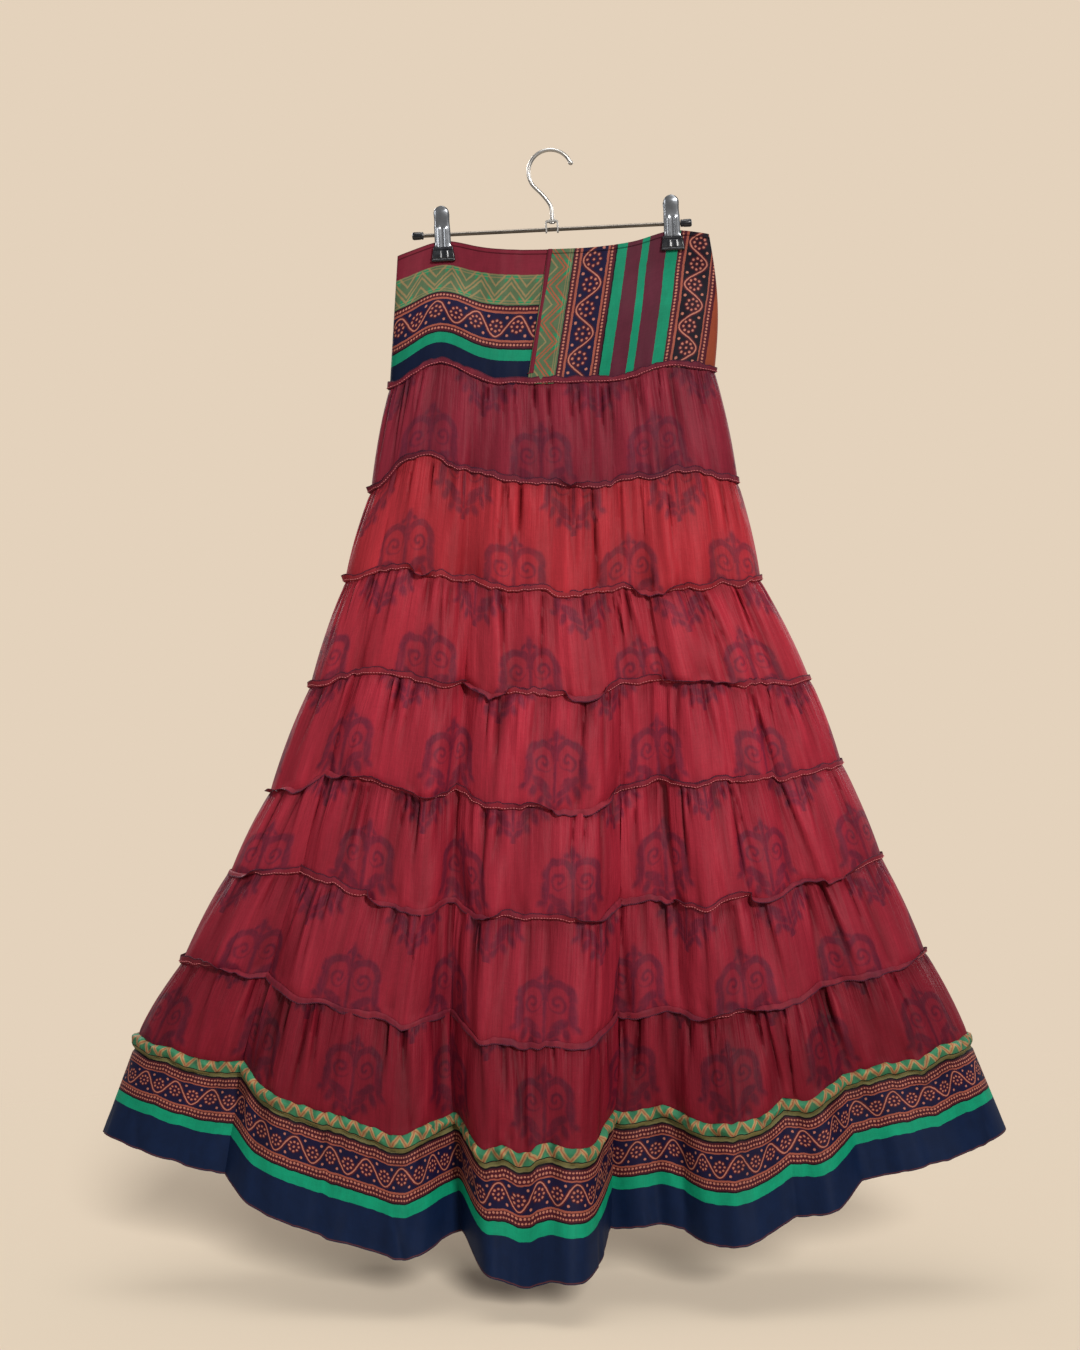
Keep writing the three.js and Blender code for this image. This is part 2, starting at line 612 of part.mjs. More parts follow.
// The coiled spring round the bar, as the tube that its turns fill.
function springGeometry() {
  const half = SPRING.length / 2;
  const profile = [
    [SPRING.inner, -half], [SPRING.outer, -half], [SPRING.outer, half], [SPRING.inner, half],
    [SPRING.inner, -half],
  ].map(([radius, x]) => new THREE.Vector2(radius, x));
  return new THREE.LatheGeometry(profile, 16).rotateZ(Math.PI / 2);
}

// ---------------------------------------------------------------- assembly

const skirt = new THREE.Group();

function place(parent, name, geometry, material, x = 0, z = 0) {
  const mesh = new THREE.Mesh(geometry, material);
  mesh.name = name;
  mesh.position.set(x, 0, z);
  parent.add(mesh);
  return mesh;
}

place(skirt, 'yoke_front_left', yokeLeftGeometry(), YOKE_PRINT);
place(skirt, 'yoke_front_right', yokeRightGeometry(), YOKE_STRIPE);
place(skirt, 'yoke_back', yokeBackGeometry(), YOKE_PRINT);
place(skirt, 'yoke_lap_binding', bindingGeometry(), BINDING_CLOTH);
place(skirt, 'tier_1', firstTierGeometry(), RED_CLOTH);
for (let tier = 2; YOKE_SEAM + tier <= BORDER_TOP; tier++) {
  place(skirt, `tier_${tier}`, tierGeometry(tier), RED_CLOTH);
}
place(skirt, 'hem_border', borderGeometry(), BORDER_PRINT);

const hanger = new THREE.Group();
hanger.position.set(BAR.x, 0, BAR.z);
hanger.rotation.y = -HANGER_TILT;
skirt.add(hanger);

// The hook's centre, in the hanger's tilted frame, is straight below the origin of the skirt.
const hookCentre = new THREE.Vector3(-BAR.x, 0, -HOOK.radius + HOOK.wire - BAR.z)
  .applyAxisAngle(new THREE.Vector3(0, 1, 0), HANGER_TILT);

place(hanger, 'hanger_bar', rodX(BAR.radius, BAR.length, BAR.sides), CHROME);
place(hanger, 'hanger_hook', hookGeometry(hookCentre.x, hookCentre.z), CHROME);
place(hanger, 'hanger_bracket', bracketGeometry(), CHROME);
for (const [name, side] of [['left', -1], ['right', 1]]) {
  const cap = place(hanger, `hanger_cap_${name}`, capGeometry(), BLACK_PLASTIC);
  cap.rotation.z = side < 0 ? Math.PI : 0;
  cap.position.x = side * (BAR.length / 2 + RUNNING + CAP.length / 2 - CAP.depth);
}

const halfCloth = CLOTH + PINCH.gap / 2;
for (const [name, clipX] of Object.entries(CLIP_X)) {
  const clip = new THREE.Group();
  clip.position.x = (clipX - BAR.x) / Math.cos(HANGER_TILT);
  hanger.add(clip);
  const facing = { front: 0, back: Math.PI };
  for (const [where, turn] of Object.entries(facing)) {
    const earX = where === 'front' ? EAR.outer : EAR.inner;
    place(clip, `clip_${name}_${where}_plate`, plateGeometry(earX), CHROME).rotation.z = turn;
    place(clip, `clip_${name}_${where}_jaw`, padGeometry(halfCloth + PAD.gap), BLACK_PLASTIC)
      .rotation.z = turn;
  }
  place(clip, `clip_${name}_spring`, springGeometry(), CHROME);
}

export default skirt;
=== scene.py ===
"""A tiered maxi skirt on its clip hanger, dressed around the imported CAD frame.

The frame is in metres, +Z up, -Y towards whoever looks at the front, and its origin is the inside
top of the hook. Cloth is worked out in millimetres and scaled when a mesh is made.
"""
import math

import bmesh
import bpy
import numpy as np
from mathutils import Matrix, Vector


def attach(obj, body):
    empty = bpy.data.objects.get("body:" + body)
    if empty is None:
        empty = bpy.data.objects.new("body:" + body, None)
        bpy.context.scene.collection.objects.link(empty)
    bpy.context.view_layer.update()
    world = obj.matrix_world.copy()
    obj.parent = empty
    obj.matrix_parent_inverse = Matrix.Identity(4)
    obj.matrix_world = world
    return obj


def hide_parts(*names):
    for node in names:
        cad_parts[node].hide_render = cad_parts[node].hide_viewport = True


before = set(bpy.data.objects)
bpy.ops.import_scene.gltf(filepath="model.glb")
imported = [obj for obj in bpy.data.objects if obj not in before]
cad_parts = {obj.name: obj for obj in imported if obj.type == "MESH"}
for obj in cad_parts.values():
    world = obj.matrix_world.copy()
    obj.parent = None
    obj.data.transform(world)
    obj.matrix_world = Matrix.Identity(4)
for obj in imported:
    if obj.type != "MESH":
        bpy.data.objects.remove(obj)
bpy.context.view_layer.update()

MM = 0.001
FRONT, BACK = -1, 1

# ------------------------------------------------------------------ camera

CAMERA_PLACE = (-0.0105, -2.6, -0.5233)
camera_data = bpy.data.cameras.new("camera")
camera_data.sensor_width = 36
camera_data.lens = 69.33
camera = bpy.data.objects.new("camera", camera_data)
camera.location = CAMERA_PLACE
camera.rotation_euler = (math.pi / 2, 0, 0)
bpy.context.scene.collection.objects.link(camera)
bpy.context.scene.camera = camera
bpy.context.scene.view_settings.view_transform = "Standard"

# ------------------------------------------------------------------ the skirt's surface
# The CAD source's flattened tube: level 0 is the waist edge, 1 the yoke seam, 2 to 7 the seams
# between tiers, 8 the top of the border and 9 the hem.

# left x, right x | z at five places | back rise | front, back depth | ends | lift left, right
LEVELS = np.array([
    (-153, 158.5, -106, -99, -99, -93, -85, 0, 9, 9, 8, 10, 9),
    (-161, 164, -243, -237, -234, -232, -222, 1, 20, 17, 6, 25, 12),
    (-180, 187, -345, -331, -334, -337, -329, 0, 31, 25, 5, 27, 12),
    (-205, 210, -432, -435, -441, -444, -428, 2, 42, 33, 4.4, 14, 5),
    (-241, 259, -535, -539, -539, -541, -529, 3, 54, 42, 4, 15, 13),
    (-280, 291, -645, -645, -647, -641, -612, 5, 67, 51, 3.6, 24, 14),
    (-319, 331, -719, -744, -751, -741, -707, 8, 81, 61, 3.3, 12, 0),
    (-369, 374, -808, -840, -863, -842, -800, 12, 95, 71, 3, 0, 0),
    (-411, 416, -882, -938, -964, -935, -880, 16, 106, 79, 2.8, 0, 0),
    (-447, 455, -978, -1050, -1080, -1042, -976, 20, 117, 86, 2.6, 0, 0),
], float)
YOKE_SEAM, BORDER_TOP, HEM = 1, 8, 9

# Deep folds: share of the width at the yoke seam and at the hem, valley and lobe depth at the hem.
FRONT_FOLDS = np.array([
    (0.00, 0.000, 0, -8), (0.07, 0.143, -26, 14), (0.17, 0.258, 18, 21), (0.26, 0.400, -30, 30),
    (0.44, 0.470, 32, 42), (0.65, 0.560, -32, -30), (0.75, 0.638, -18, 22), (0.83, 0.757, 2, 14),
    (0.91, 0.830, -14, 6), (1.00, 1.000, 0, 0)], float)
BACK_FOLDS = np.array([
    (0.00, 0.000, 0, 4), (0.10, 0.125, -22, 20), (0.23, 0.245, -8, 30), (0.37, 0.365, -26, 16),
    (0.50, 0.485, -4, 34), (0.64, 0.620, -28, 22), (0.77, 0.745, -6, 24), (0.89, 0.870, -18, 4),
    (1.00, 1.000, 0, 0)], float)
# How creased each valley is: 1 is a sharp line, 0 a smooth trough.
FRONT_CREASED = np.array([1, 1, 0.9, 0.1, 0, 1, 1, 0.5, 0.4, 1], float)
BACK_CREASED = np.array([1, 0.7, 0.2, 1, 0.3, 0.8, 0.2, 0.7, 1], float)
FOLD_GROWTH, FOLD_ROUNDNESS, FOLD_DIP, END_CALM = 1.3, 0.85, 0.5, 8
BOX_DROP = 10                 # how much lower the main lobe hangs at the hem, to a sharp right edge
BOX_LIFT = 16                 # how much that lobe's middle is drawn up, so that its foot runs level
CLIP_X = (-108, 121.2)
WAIST_HALF = 1.5              # half the waist's thickness where a clip grips it
CLOTH = 0.8
OVERLAP_TOP, OVERLAP_SEAM, OVERLAP_UNDER = 0.483, 0.423, 0.045
LAP_SHIFT = OVERLAP_SEAM - OVERLAP_TOP       # how far the lapped edge strays on its way down the yoke
SWELL, SWELL_TOP = 5.5, 1.2   # how far soft waves move the cloth at the hem, and the level they start from


def smooth(start, end, value):
    """An even step from 0 at `start` to 1 at `end`, eased at both."""
    share = np.clip((value - start) / (end - start), 0, 1)
    return share * share * (3 - 2 * share)


def bell(offset, spread):
    return np.exp(-0.5 * (offset / spread) ** 2)


def wave(seed, knots, place):
    """Smooth noise round the tube, about -1 to 1. `place` runs from 0 to 2, once round."""
    values = np.random.default_rng(seed).uniform(-1, 1, knots)
    along = (place / 2 % 1) * knots
    index = np.floor(along).astype(int)
    share = along - index
    share = share * share * (3 - 2 * share)
    return values[index % knots] * (1 - share) + values[(index + 1) % knots] * share


def drifting_wave(seed, knots, place, level):
    """Noise round the tube that changes slowly from one level to the next."""
    upper = np.floor(level).astype(int)
    share = smooth(0, 1, level - upper)
    out = np.zeros(np.broadcast(place, level).shape)
    place = np.broadcast_to(place, out.shape)
    upper = np.broadcast_to(upper, out.shape)
    share = np.broadcast_to(share, out.shape)
    for step in np.unique(upper):
        here = upper == step
        a = wave(seed + int(step), knots, place[here])
        b = wave(seed + int(step) + 1, knots, place[here])
        out[here] = a * (1 - share[here]) + b * share[here]
    return out


def tube(side, share, level):
    """The outer face of the smooth tube, before any fold."""
    upper = np.clip(np.floor(level), 0, HEM - 1).astype(int)
    part = (level - upper)[..., None]
    row = LEVELS[upper] * (1 - part) + LEVELS[upper + 1] * part
    left, right, z0, z1, z2, z3, z4, rise, front, back, ends, lift_left, lift_right = np.moveaxis(row, -1, 0)
    across = 2 * share - 1
    bulge = 6 * np.sin(np.pi * np.minimum(level, 1)) * smooth(0.8, 1, share)
    x = left + (right - left) * share + bulge
    depth = np.where(side == FRONT, front, back)
    opened = depth * np.sqrt(np.maximum(0, 1 - np.abs(across) ** ends))
    nearest = np.minimum(np.abs(x - CLIP_X[0]), np.abs(x - CLIP_X[1]))
    pinch = (1 - smooth(15, 60, nearest)) * (1 - smooth(0.19, 0.6, level))
    y = side * (opened + (np.minimum(opened, WAIST_HALF) - opened) * pinch)
    t = share * 4
    z = (z0 * (t - 1) * (t - 2) * (t - 3) * (t - 4) / 24 - z1 * t * (t - 2) * (t - 3) * (t - 4) / 6
         + z2 * t * (t - 1) * (t - 3) * (t - 4) / 4 - z3 * t * (t - 1) * (t - 2) * (t - 4) / 6
         + z4 * t * (t - 1) * (t - 2) * (t - 3) / 24)
    z = z + np.where(side == FRONT, 0, rise * (1 - across ** 2))
    boxed = smooth(0.43, 0.465, share) * (1 - smooth(0.547, 0.560, share)) * smooth(6.8, HEM, level)
    lower = smooth(7.8, HEM, level)
    raised = bell(share - (0.500 + 0.012 * lower), 0.034 - 0.012 * lower) * smooth(6.8, 7.9, level)
    z = z + np.where(side == FRONT, BOX_LIFT * raised - BOX_DROP * boxed, 0)
    z = z + lift_left * bell(share - 0.15, 0.075) + lift_right * bell(share - (0.88 - 0.028 * level), 0.075)
    return x, y, z


class Columns:
    """Places round the tube: along the front from left to right, then back behind it."""

    def __init__(self, front, back):
        side, lobe, across = [], [], []
        for where, total, folds in ((FRONT, front, FRONT_FOLDS), (BACK, back, BACK_FOLDS)):
            widths = np.diff((folds[:, 0] + folds[:, 1]) / 2)
            widths[0] *= 1.7
            widths[-1] *= 1.7
            counts = np.maximum(6, np.round(total * widths / widths.sum())).astype(int)
            order = range(len(counts)) if where == FRONT else range(len(counts) - 1, -1, -1)
            for i in order:
                steps = np.arange(counts[i]) / counts[i]
                side.append(np.full(counts[i], where))
                lobe.append(np.full(counts[i], i))
                across.append(steps if where == FRONT else 1 - steps)
        self.side = np.concatenate(side)
        self.lobe = np.concatenate(lobe)
        self.across = np.concatenate(across)
        self.count = len(self.side)

    def share(self, level):
        """The share of the width at which each column lies, for a column of levels."""
        out = np.zeros(np.broadcast(level, self.across).shape)
        for where, folds in ((FRONT, FRONT_FOLDS), (BACK, BACK_FOLDS)):
            here = self.side == where
            lobe, across = self.lobe[here], self.across[here].copy()
            across = np.where(lobe == 0, 1 - np.cos(np.pi / 2 * across), across)
            across = np.where(lobe == len(folds) - 2, np.sin(np.pi / 2 * self.across[here]), across)
            down = np.clip((level - YOKE_SEAM) / (HEM - YOKE_SEAM), 0, 1)
            start = folds[lobe, 0] * (1 - down) + folds[lobe, 1] * down
            end = folds[lobe + 1, 0] * (1 - down) + folds[lobe + 1, 1] * down
            out[:, here] = start + (end - start) * across
        return out

    def fold(self, share, level):
        """How far the deep folds move the cloth out from the smooth tube."""
        out = np.zeros(share.shape)
        growth = np.clip((level - YOKE_SEAM) / (HEM - YOKE_SEAM), 0, 1) ** FOLD_GROWTH
        for where, folds, crease_shade in ((FRONT, FRONT_FOLDS, FRONT_CREASED), (BACK, BACK_FOLDS, BACK_CREASED)):
            here = self.side == where
            lobe, across = self.lobe[here], self.across[here]
            eased = smooth(0, 1, across)
            sharp = np.where(across < 0.5, crease_shade[lobe], crease_shade[lobe + 1])
            floor = folds[lobe, 2] + (folds[lobe + 1, 2] - folds[lobe, 2]) * eased
            peaked = np.sin(np.pi * across) ** FOLD_ROUNDNESS
            rounded = (0.5 - 0.5 * np.cos(2 * np.pi * across)) ** 0.8
            lobed = peaked * sharp + rounded * (1 - sharp)
            out[:, here] = growth * (floor + (folds[lobe, 3] - floor) * lobed)
        return out * (1 - np.abs(2 * share - 1) ** END_CALM)


def place_round(side, share):
    """Where a column lies on the way round: 0 to 1 along the front, 1 to 2 back behind it."""
    return np.where(side == FRONT, share, 2 - share)


def seam_wobble(level, place):
    """How far a seam line strays up or down and in or out, in millimetres."""
    upper = np.floor(level).astype(int)
    part = level - upper
    up = np.zeros(np.broadcast(level, place).shape)
    out = np.zeros(up.shape)
    for step in range(YOKE_SEAM, HEM + 1):
        weight = np.where(upper == step, (1 - part) ** 2, 0) + np.where(upper == step - 1, part ** 2, 0)
        weight = np.broadcast_to(weight, up.shape)
        if not weight.any():
            continue
        size = {YOKE_SEAM: 0.4, HEM: 0.45}.get(step, 1.15)
        knots = 30 + 7 * step
        coarse, fine = wave(500 + step, knots, place), wave(540 + step, 3 * knots, place)
        up += weight * size * (2.6 * coarse + 1.3 * fine)
        out += weight * size * 1.6 * wave(580 + step, 2 * knots, place)
    return up, out


def skirt_grid(columns, levels):
    """Points of the folded tube in millimetres, one row for each level."""
    level = np.asarray(levels, float)[:, None]
    share = columns.share(level)
    x, y, z = tube(columns.side, share, np.broadcast_to(level, share.shape))
    fold = columns.fold(share, level)
    place = place_round(columns.side, share)
    up, out = seam_wobble(level, place)
    calm = 1 - np.abs(2 * share - 1) ** END_CALM
    grown = np.clip((level - SWELL_TOP) / (HEM - SWELL_TOP), 0, 1) ** 0.8
    soft = drifting_wave(700, 64, place, level) * 0.7 + drifting_wave(760, 121, place, level) * 0.45
    soft = soft - 0.35 * np.maximum(0, -soft)
    y = y + columns.side * (fold + calm * (out + grown * SWELL * soft))
    return np.stack([x, y, z - FOLD_DIP * fold + up], -1)


def grid_normals(points, closed):
    """The outward direction at each point of a grid."""
    down = np.gradient(points, axis=0)
    right = np.roll(points, -1, 1) - np.roll(points, 1, 1) if closed else np.gradient(points, axis=1)
    normal = np.cross(down, right)
    return normal / np.maximum(np.linalg.norm(normal, axis=-1, keepdims=True), 1e-9)


def unit(vectors):
    return vectors / np.linalg.norm(vectors, axis=-1, keepdims=True)


def eased(normals, reach):
    """Directions averaged with those of the columns on both sides, round a closed wall."""
    return unit(sum(np.roll(normals, step, 1) for step in range(-reach, reach + 1)))


def run_round(row, closed=True):
    """Distance along a row of points from its first one; closed rows also get the whole way round."""
    ahead = np.roll(row, -1, 0) if closed else row[1:]
    steps = np.linalg.norm(ahead - (row if closed else row[:-1]), axis=-1)
    return np.concatenate([[0], np.cumsum(steps)])


def run_down(points):
    """Distance down each column of points from its first one."""
    steps = np.linalg.norm(np.diff(points, axis=0), axis=-1)
    return np.concatenate([np.zeros((1, points.shape[1])), np.cumsum(steps, axis=0)])


# ------------------------------------------------------------------ meshes

def build_mesh(name, vertices, faces, uvs=None, slots=None, sharp=60, hollow=None):
    mesh = bpy.data.meshes.new(name)
    faces = faces if isinstance(faces, list) else faces.tolist()
    mesh.from_pydata((np.asarray(vertices) * MM).tolist(), [], faces)
    if uvs is not None:
        layer = mesh.uv_layers.new(name="cloth")
        layer.data.foreach_set("uv", (np.asarray(uvs, np.float32) * MM).ravel())
    if slots is not None:
        mesh.polygons.foreach_set("material_index", np.asarray(slots, np.int32))
    mesh.polygons.foreach_set("use_smooth", np.ones(len(mesh.polygons), bool))
    if hollow is not None:
        depths = mesh.attributes.new("hollow", "FLOAT", "POINT").data
        depths.foreach_set("value", np.asarray(hollow, np.float32))
    mesh.update()
    if sharp:
        mesh.set_sharp_from_angle(angle=math.radians(sharp))
    piece = bpy.data.objects.new(name, mesh)
    bpy.context.scene.collection.objects.link(piece)
    return piece


def cloth_wall(name, outer, u, v, closed, thickness=CLOTH, hollow=None):
    """A wall of cloth behind a grid of outer points. Its first material is the outside's, the second
    the inside's. u has one value for each column, and one more for the way round if it is closed.
    hollow is how deep each point lies in a crease, in millimetres."""
    height, width = outer.shape[:2]
    inner = outer - grid_normals(outer, closed) * thickness
    u = np.asarray(u, float)
    u = np.broadcast_to(u, (height, u.shape[-1]))
    faces, uvs, slots = [], [], []

    def add(corners, order=1, slot=0):
        """Adds quads; each corner is a face of the wall (0 outer, 1 inner), a row and a column."""
        quad = [(layer * height + row) * width + column % width for layer, row, column in corners]
        spots = [np.stack([u[row, column], v[row, column % width]], -1) for _, row, column in corners]
        faces.append(np.stack(quad[::order], 1))
        uvs.append(np.stack(spots[::order], 1))
        slots.append(np.full(len(faces[-1]), slot))

    down, across = np.arange(height - 1), np.arange(width if closed else width - 1)
    i, j = (axis.ravel() for axis in np.meshgrid(down, across, indexing="ij"))
    add([(0, i, j), (0, i + 1, j), (0, i + 1, j + 1), (0, i, j + 1)])
    add([(1, i, j), (1, i, j + 1), (1, i + 1, j + 1), (1, i + 1, j)], slot=1)
    for row, order in ((0, 1), (height - 1, -1)):
        add([(0, row, across), (0, row, across + 1), (1, row, across + 1), (1, row, across)], order)
    if not closed:
        for column, order in ((0, -1), (width - 1, 1)):
            add([(0, down, column), (0, down + 1, column), (1, down + 1, column), (1, down, column)], order)
    if hollow is not None:
        hollow = np.concatenate([hollow.ravel(), -hollow.ravel()])
    vertices = np.concatenate([outer.reshape(-1, 3), inner.reshape(-1, 3)])
    return build_mesh(name, vertices, np.concatenate(faces), np.concatenate(uvs), np.concatenate(slots),
                      hollow=hollow)


# ------------------------------------------------------------------ node helpers

class Num:
    """A number at each point of a material, with the usual arithmetic."""

    def __init__(self, tree, value):
        self.tree, self.value = tree, value

    def op(self, kind, *others, clamp=False):
        node = self.tree.nodes.new("ShaderNodeMath")
        node.operation = kind
        node.use_clamp = clamp
        for index, item in enumerate((self, *others)):
            item = item.value if isinstance(item, Num) else item
            if isinstance(item, bpy.types.NodeSocket):
                self.tree.links.new(item, node.inputs[index])
            else:
                node.inputs[index].default_value = item
        return Num(self.tree, node.outputs[0])

    def __rsub__(self, other):
        return Num(self.tree, other).op("SUBTRACT", self)

    def wrap(self, half):
        return self.op("WRAP", half, -half)

    def ramp(self, zero, one):
        """0 where the number is `zero`, 1 where it is `one`, even between them."""
        return self.op("MULTIPLY_ADD", 1 / (one - zero), -zero / (one - zero), clamp=True)

    def inside(self, start, end, soft=0.15):
        return self.ramp(start - soft, start + soft) * self.ramp(end + soft, end - soft)

    def within(self, size, soft=0.2):
        """1 where a distance is below `size`."""
        return self.ramp(size + soft, size - soft)


ARITHMETIC = {"__add__": "ADD", "__radd__": "ADD", "__sub__": "SUBTRACT", "__mul__": "MULTIPLY",
              "__rmul__": "MULTIPLY", "__truediv__": "DIVIDE", "abs": "ABSOLUTE", "sin": "SINE",
              "cos": "COSINE", "min": "MINIMUM", "max": "MAXIMUM"}
for method, operation in ARITHMETIC.items():
    setattr(Num, method, lambda self, *others, kind=operation: self.op(kind, *others))


def hypot(a, b):
    node = a.tree.nodes.new("ShaderNodeCombineXYZ")
    for index, item in enumerate((a, b)):
        a.tree.links.new(item.value, node.inputs[index])
    length = a.tree.nodes.new("ShaderNodeVectorMath")
    length.operation = "LENGTH"
    a.tree.links.new(node.outputs[0], length.inputs[0])
    return Num(a.tree, length.outputs["Value"])


class Paint:
    """A material in the making: its tree, the cloth's coordinates in millimetres, and its colour."""

    def __init__(self, name):
        self.material = bpy.data.materials.new(name)
        self.material.use_nodes = True
        self.tree = self.material.node_tree
        self.shader = self.tree.nodes["Principled BSDF"]
        self.color = None

    def node(self, kind, **values):
        node = self.tree.nodes.new("ShaderNode" + kind)
        for key, value in values.items():
            setattr(node, key, value)
        return node

    def link(self, value, socket):
        self.tree.links.new(value.value if isinstance(value, Num) else value, socket)

    def give(self, color, socket):
        """Gives a socket a plain colour or another node's output."""
        if isinstance(color, tuple):
            socket.default_value = (*color, 1)[:len(socket.default_value)]
        else:
            self.link(color, socket)

    def cloth_place(self):
        """The way round and the way down the cloth, in millimetres."""
        uv = self.node("UVMap", uv_map="cloth")
        split = self.node("SeparateXYZ")
        self.link(uv.outputs[0], split.inputs[0])
        self.uv = uv.outputs[0]
        return Num(self.tree, split.outputs[0]) * 1000.0, Num(self.tree, split.outputs[1]) * 1000.0

    def noise(self, place, scale, detail=2.0, rough=0.5, stretch=(1, 1, 1)):
        """Noise from about 0 to 1; `scale` counts its lumps for each unit of `place`."""
        scaled = self.node("VectorMath", operation="MULTIPLY")
        self.link(place, scaled.inputs[0])
        scaled.inputs[1].default_value = stretch
        node = self.node("TexNoise")
        self.link(scaled.outputs[0], node.inputs["Vector"])
        node.inputs["Scale"].default_value = scale
        node.inputs["Detail"].default_value = detail
        node.inputs["Roughness"].default_value = rough
        return Num(self.tree, node.outputs["Fac"])

    def hollow(self):
        """How deep a point lies in a crease, in millimetres."""
        return Num(self.tree, self.node("Attribute", attribute_name="hollow").outputs["Fac"])

    def lay(self, color, mask):
        """Lays a colour over what is there, where mask is 1."""
        mixer = self.node("Mix", data_type="RGBA")
        self.link(mask, mixer.inputs[0])
        self.give(self.color, mixer.inputs[6])
        self.give(color, mixer.inputs[7])
        self.color = mixer.outputs[2]

    def shade(self, factor):
        """Multiplies the colour by a number."""
        scale = self.node("VectorMath", operation="SCALE")
        self.give(self.color, scale.inputs[0])
        self.link(factor, scale.inputs["Scale"])
        self.color = scale.outputs[0]

    def stripes(self, place, length, stops):
        """Plain stripes across a length; each stop is where one starts, and its colour."""
        ramp = self.node("ValToRGB")
        ramp.color_ramp.interpolation = "CONSTANT"
        self.link(place / length, ramp.inputs[0])
        points = ramp.color_ramp.elements
        while len(points) < len(stops):
            points.new(1)
        for point, (start, color) in zip(points, stops):
            point.position = max(0, start / length)
            point.color = (*color, 1)
        self.color = ramp.outputs[0]

    def bump(self, height, distance, strength=1.0, below=None):
        node = self.node("Bump")
        node.inputs["Strength"].default_value = strength
        node.inputs["Distance"].default_value = distance * MM
        self.link(height, node.inputs["Height"])
        if below is not None:
            self.link(below, node.inputs["Normal"])
        return node.outputs[0]

    def finish(self, roughness, specular, normal=None, metallic=0.0, sheen=0.0, tint=(1, 1, 1)):
        shader = self.shader.inputs
        self.give(self.color, shader["Base Color"])
        if isinstance(roughness, Num):
            self.link(roughness, shader["Roughness"])
        else:
            shader["Roughness"].default_value = roughness
        shader["Metallic"].default_value = metallic
        shader["Specular IOR Level"].default_value = specular
        shader["Sheen Weight"].default_value = sheen
        shader["Sheen Roughness"].default_value = 0.4
        shader["Sheen Tint"].default_value = (*tint, 1)
        if normal is not None:
            self.link(normal, shader["Normal"])
        return self.material


def rgb(red, green, blue):
    """A colour as it looks on a screen, 0 to 255, turned into light."""
    return tuple(((part / 255 + 0.055) / 1.055) ** 2.4 if part > 10 else part / 255 / 12.92
                 for part in (red, green, blue))


# ------------------------------------------------------------------ cloth prints

NAVY = rgb(24, 18, 52)
NAVY_DEEP = rgb(6, 19, 47)
NAVY_HEM = rgb(10, 29, 62)
GREEN = rgb(12, 132, 98)
GREEN_DULL = rgb(28, 132, 90)
MAROON = rgb(74, 22, 34)
WINE = rgb(86, 31, 47)
BLACK = rgb(22, 12, 22)
OLIVE = rgb(82, 104, 74)
ORANGE = rgb(154, 82, 66)
SALMON = rgb(184, 116, 97)
RUST = rgb(162, 82, 56)
PURPLE = rgb(70, 27, 48)
CREAM = rgb(146, 122, 84)
SAND = rgb(172, 138, 94)
TEAL = rgb(60, 130, 94)

MOTIF_PITCH, MOTIF_DROP = 124.0, 86.0        # millimetres between motifs across, and between their rows
MOTIF_SOFT = 1.5                             # how far a motif's edge fades on each side
# half a motif's leaves: place across and down, half width, half length, turn
MOTIF_LEAVES = [
    (28.2, 2.0, 4.4, 17.0, -0.10), (32.5, 15.5, 2.8, 5.5, -0.9), (0.0, -33.0, 3.6, 7.5, 0.0),
    (6.0, -30.5, 2.4, 4.6, -0.9), (16.0, 12.5, 4.8, 12.0, 1.05), (22.5, 20.0, 3.6, 7.5, -0.45),
    (9.5, 22.0, 4.0, 10.0, 0.95), (14.5, 29.5, 3.2, 6.2, -0.45), (6.0, 32.0, 3.0, 7.4, 0.8),
    (0.0, 39.5, 3.2, 6.0, 0.0),
]


def damask_mask(paint, u, v):
    """A soft-edged scroll motif in a half-drop lattice: twin scrolls under a dome, and below them
    pairs of curled leaves that narrow to a point. u and v are in millimetres."""
    row = (v / MOTIF_DROP).op("FLOOR")
    y = v - row * MOTIF_DROP - MOTIF_DROP / 2
    x = (u + row * (MOTIF_PITCH / 2)).wrap(MOTIF_PITCH / 2).abs()
    place = paint.node("CombineXYZ")
    paint.link(x, place.inputs[0])
    paint.link(y, place.inputs[1])

    def distance(px, py):
        node = paint.node("VectorMath", operation="DISTANCE")
        paint.link(place.outputs[0], node.inputs[0])
        node.inputs[1].default_value = (px, py, 0)
        return Num(paint.tree, node.outputs["Value"])

    def ring(px, py, radius, half):
        return (distance(px, py) - radius).abs() - half

    def leaf(px, py, wide, tall, turn):
        """An ellipse with its long way turned from upright."""
        cos, sin = math.cos(turn), math.sin(turn)
        across = ((x - px) * cos + (y - py) * sin) * (1 / wide)
        along = ((y - py) * cos - (x - px) * sin) * (1 / tall)
        return (hypot(across, along) - 1.0) * min(wide, tall)

    def scroll(px, py, reach, pitch, half):
        """A spiral that winds in to px, py."""
        turn = (y - py).op("ARCTAN2", x - px)
        line = (distance(px, py) - turn * (pitch / (2 * math.pi))).wrap(pitch / 2).abs() - half
        return line.max(distance(px, py) - reach)

    # y runs down the cloth, so the dome is at negative y
    nearest = ring(14.0, -11.5, 14.2, 3.8).max(y + 8.0)
    nearest = nearest.min(scroll(13.2, -7.0, 9.6, 7.6, 2.0))
    nearest = nearest.min(x.max((y - 2.0).abs() - 28.0) - 2.2)
    for place_and_size in MOTIF_LEAVES:
        nearest = nearest.min(leaf(*place_and_size))
    wash = leaf(0.0, -4.0, 27.0, 34.0, 0.0).ramp(5.0, -5.0)
    return nearest.ramp(MOTIF_SOFT, -MOTIF_SOFT).max(wash * 0.22)


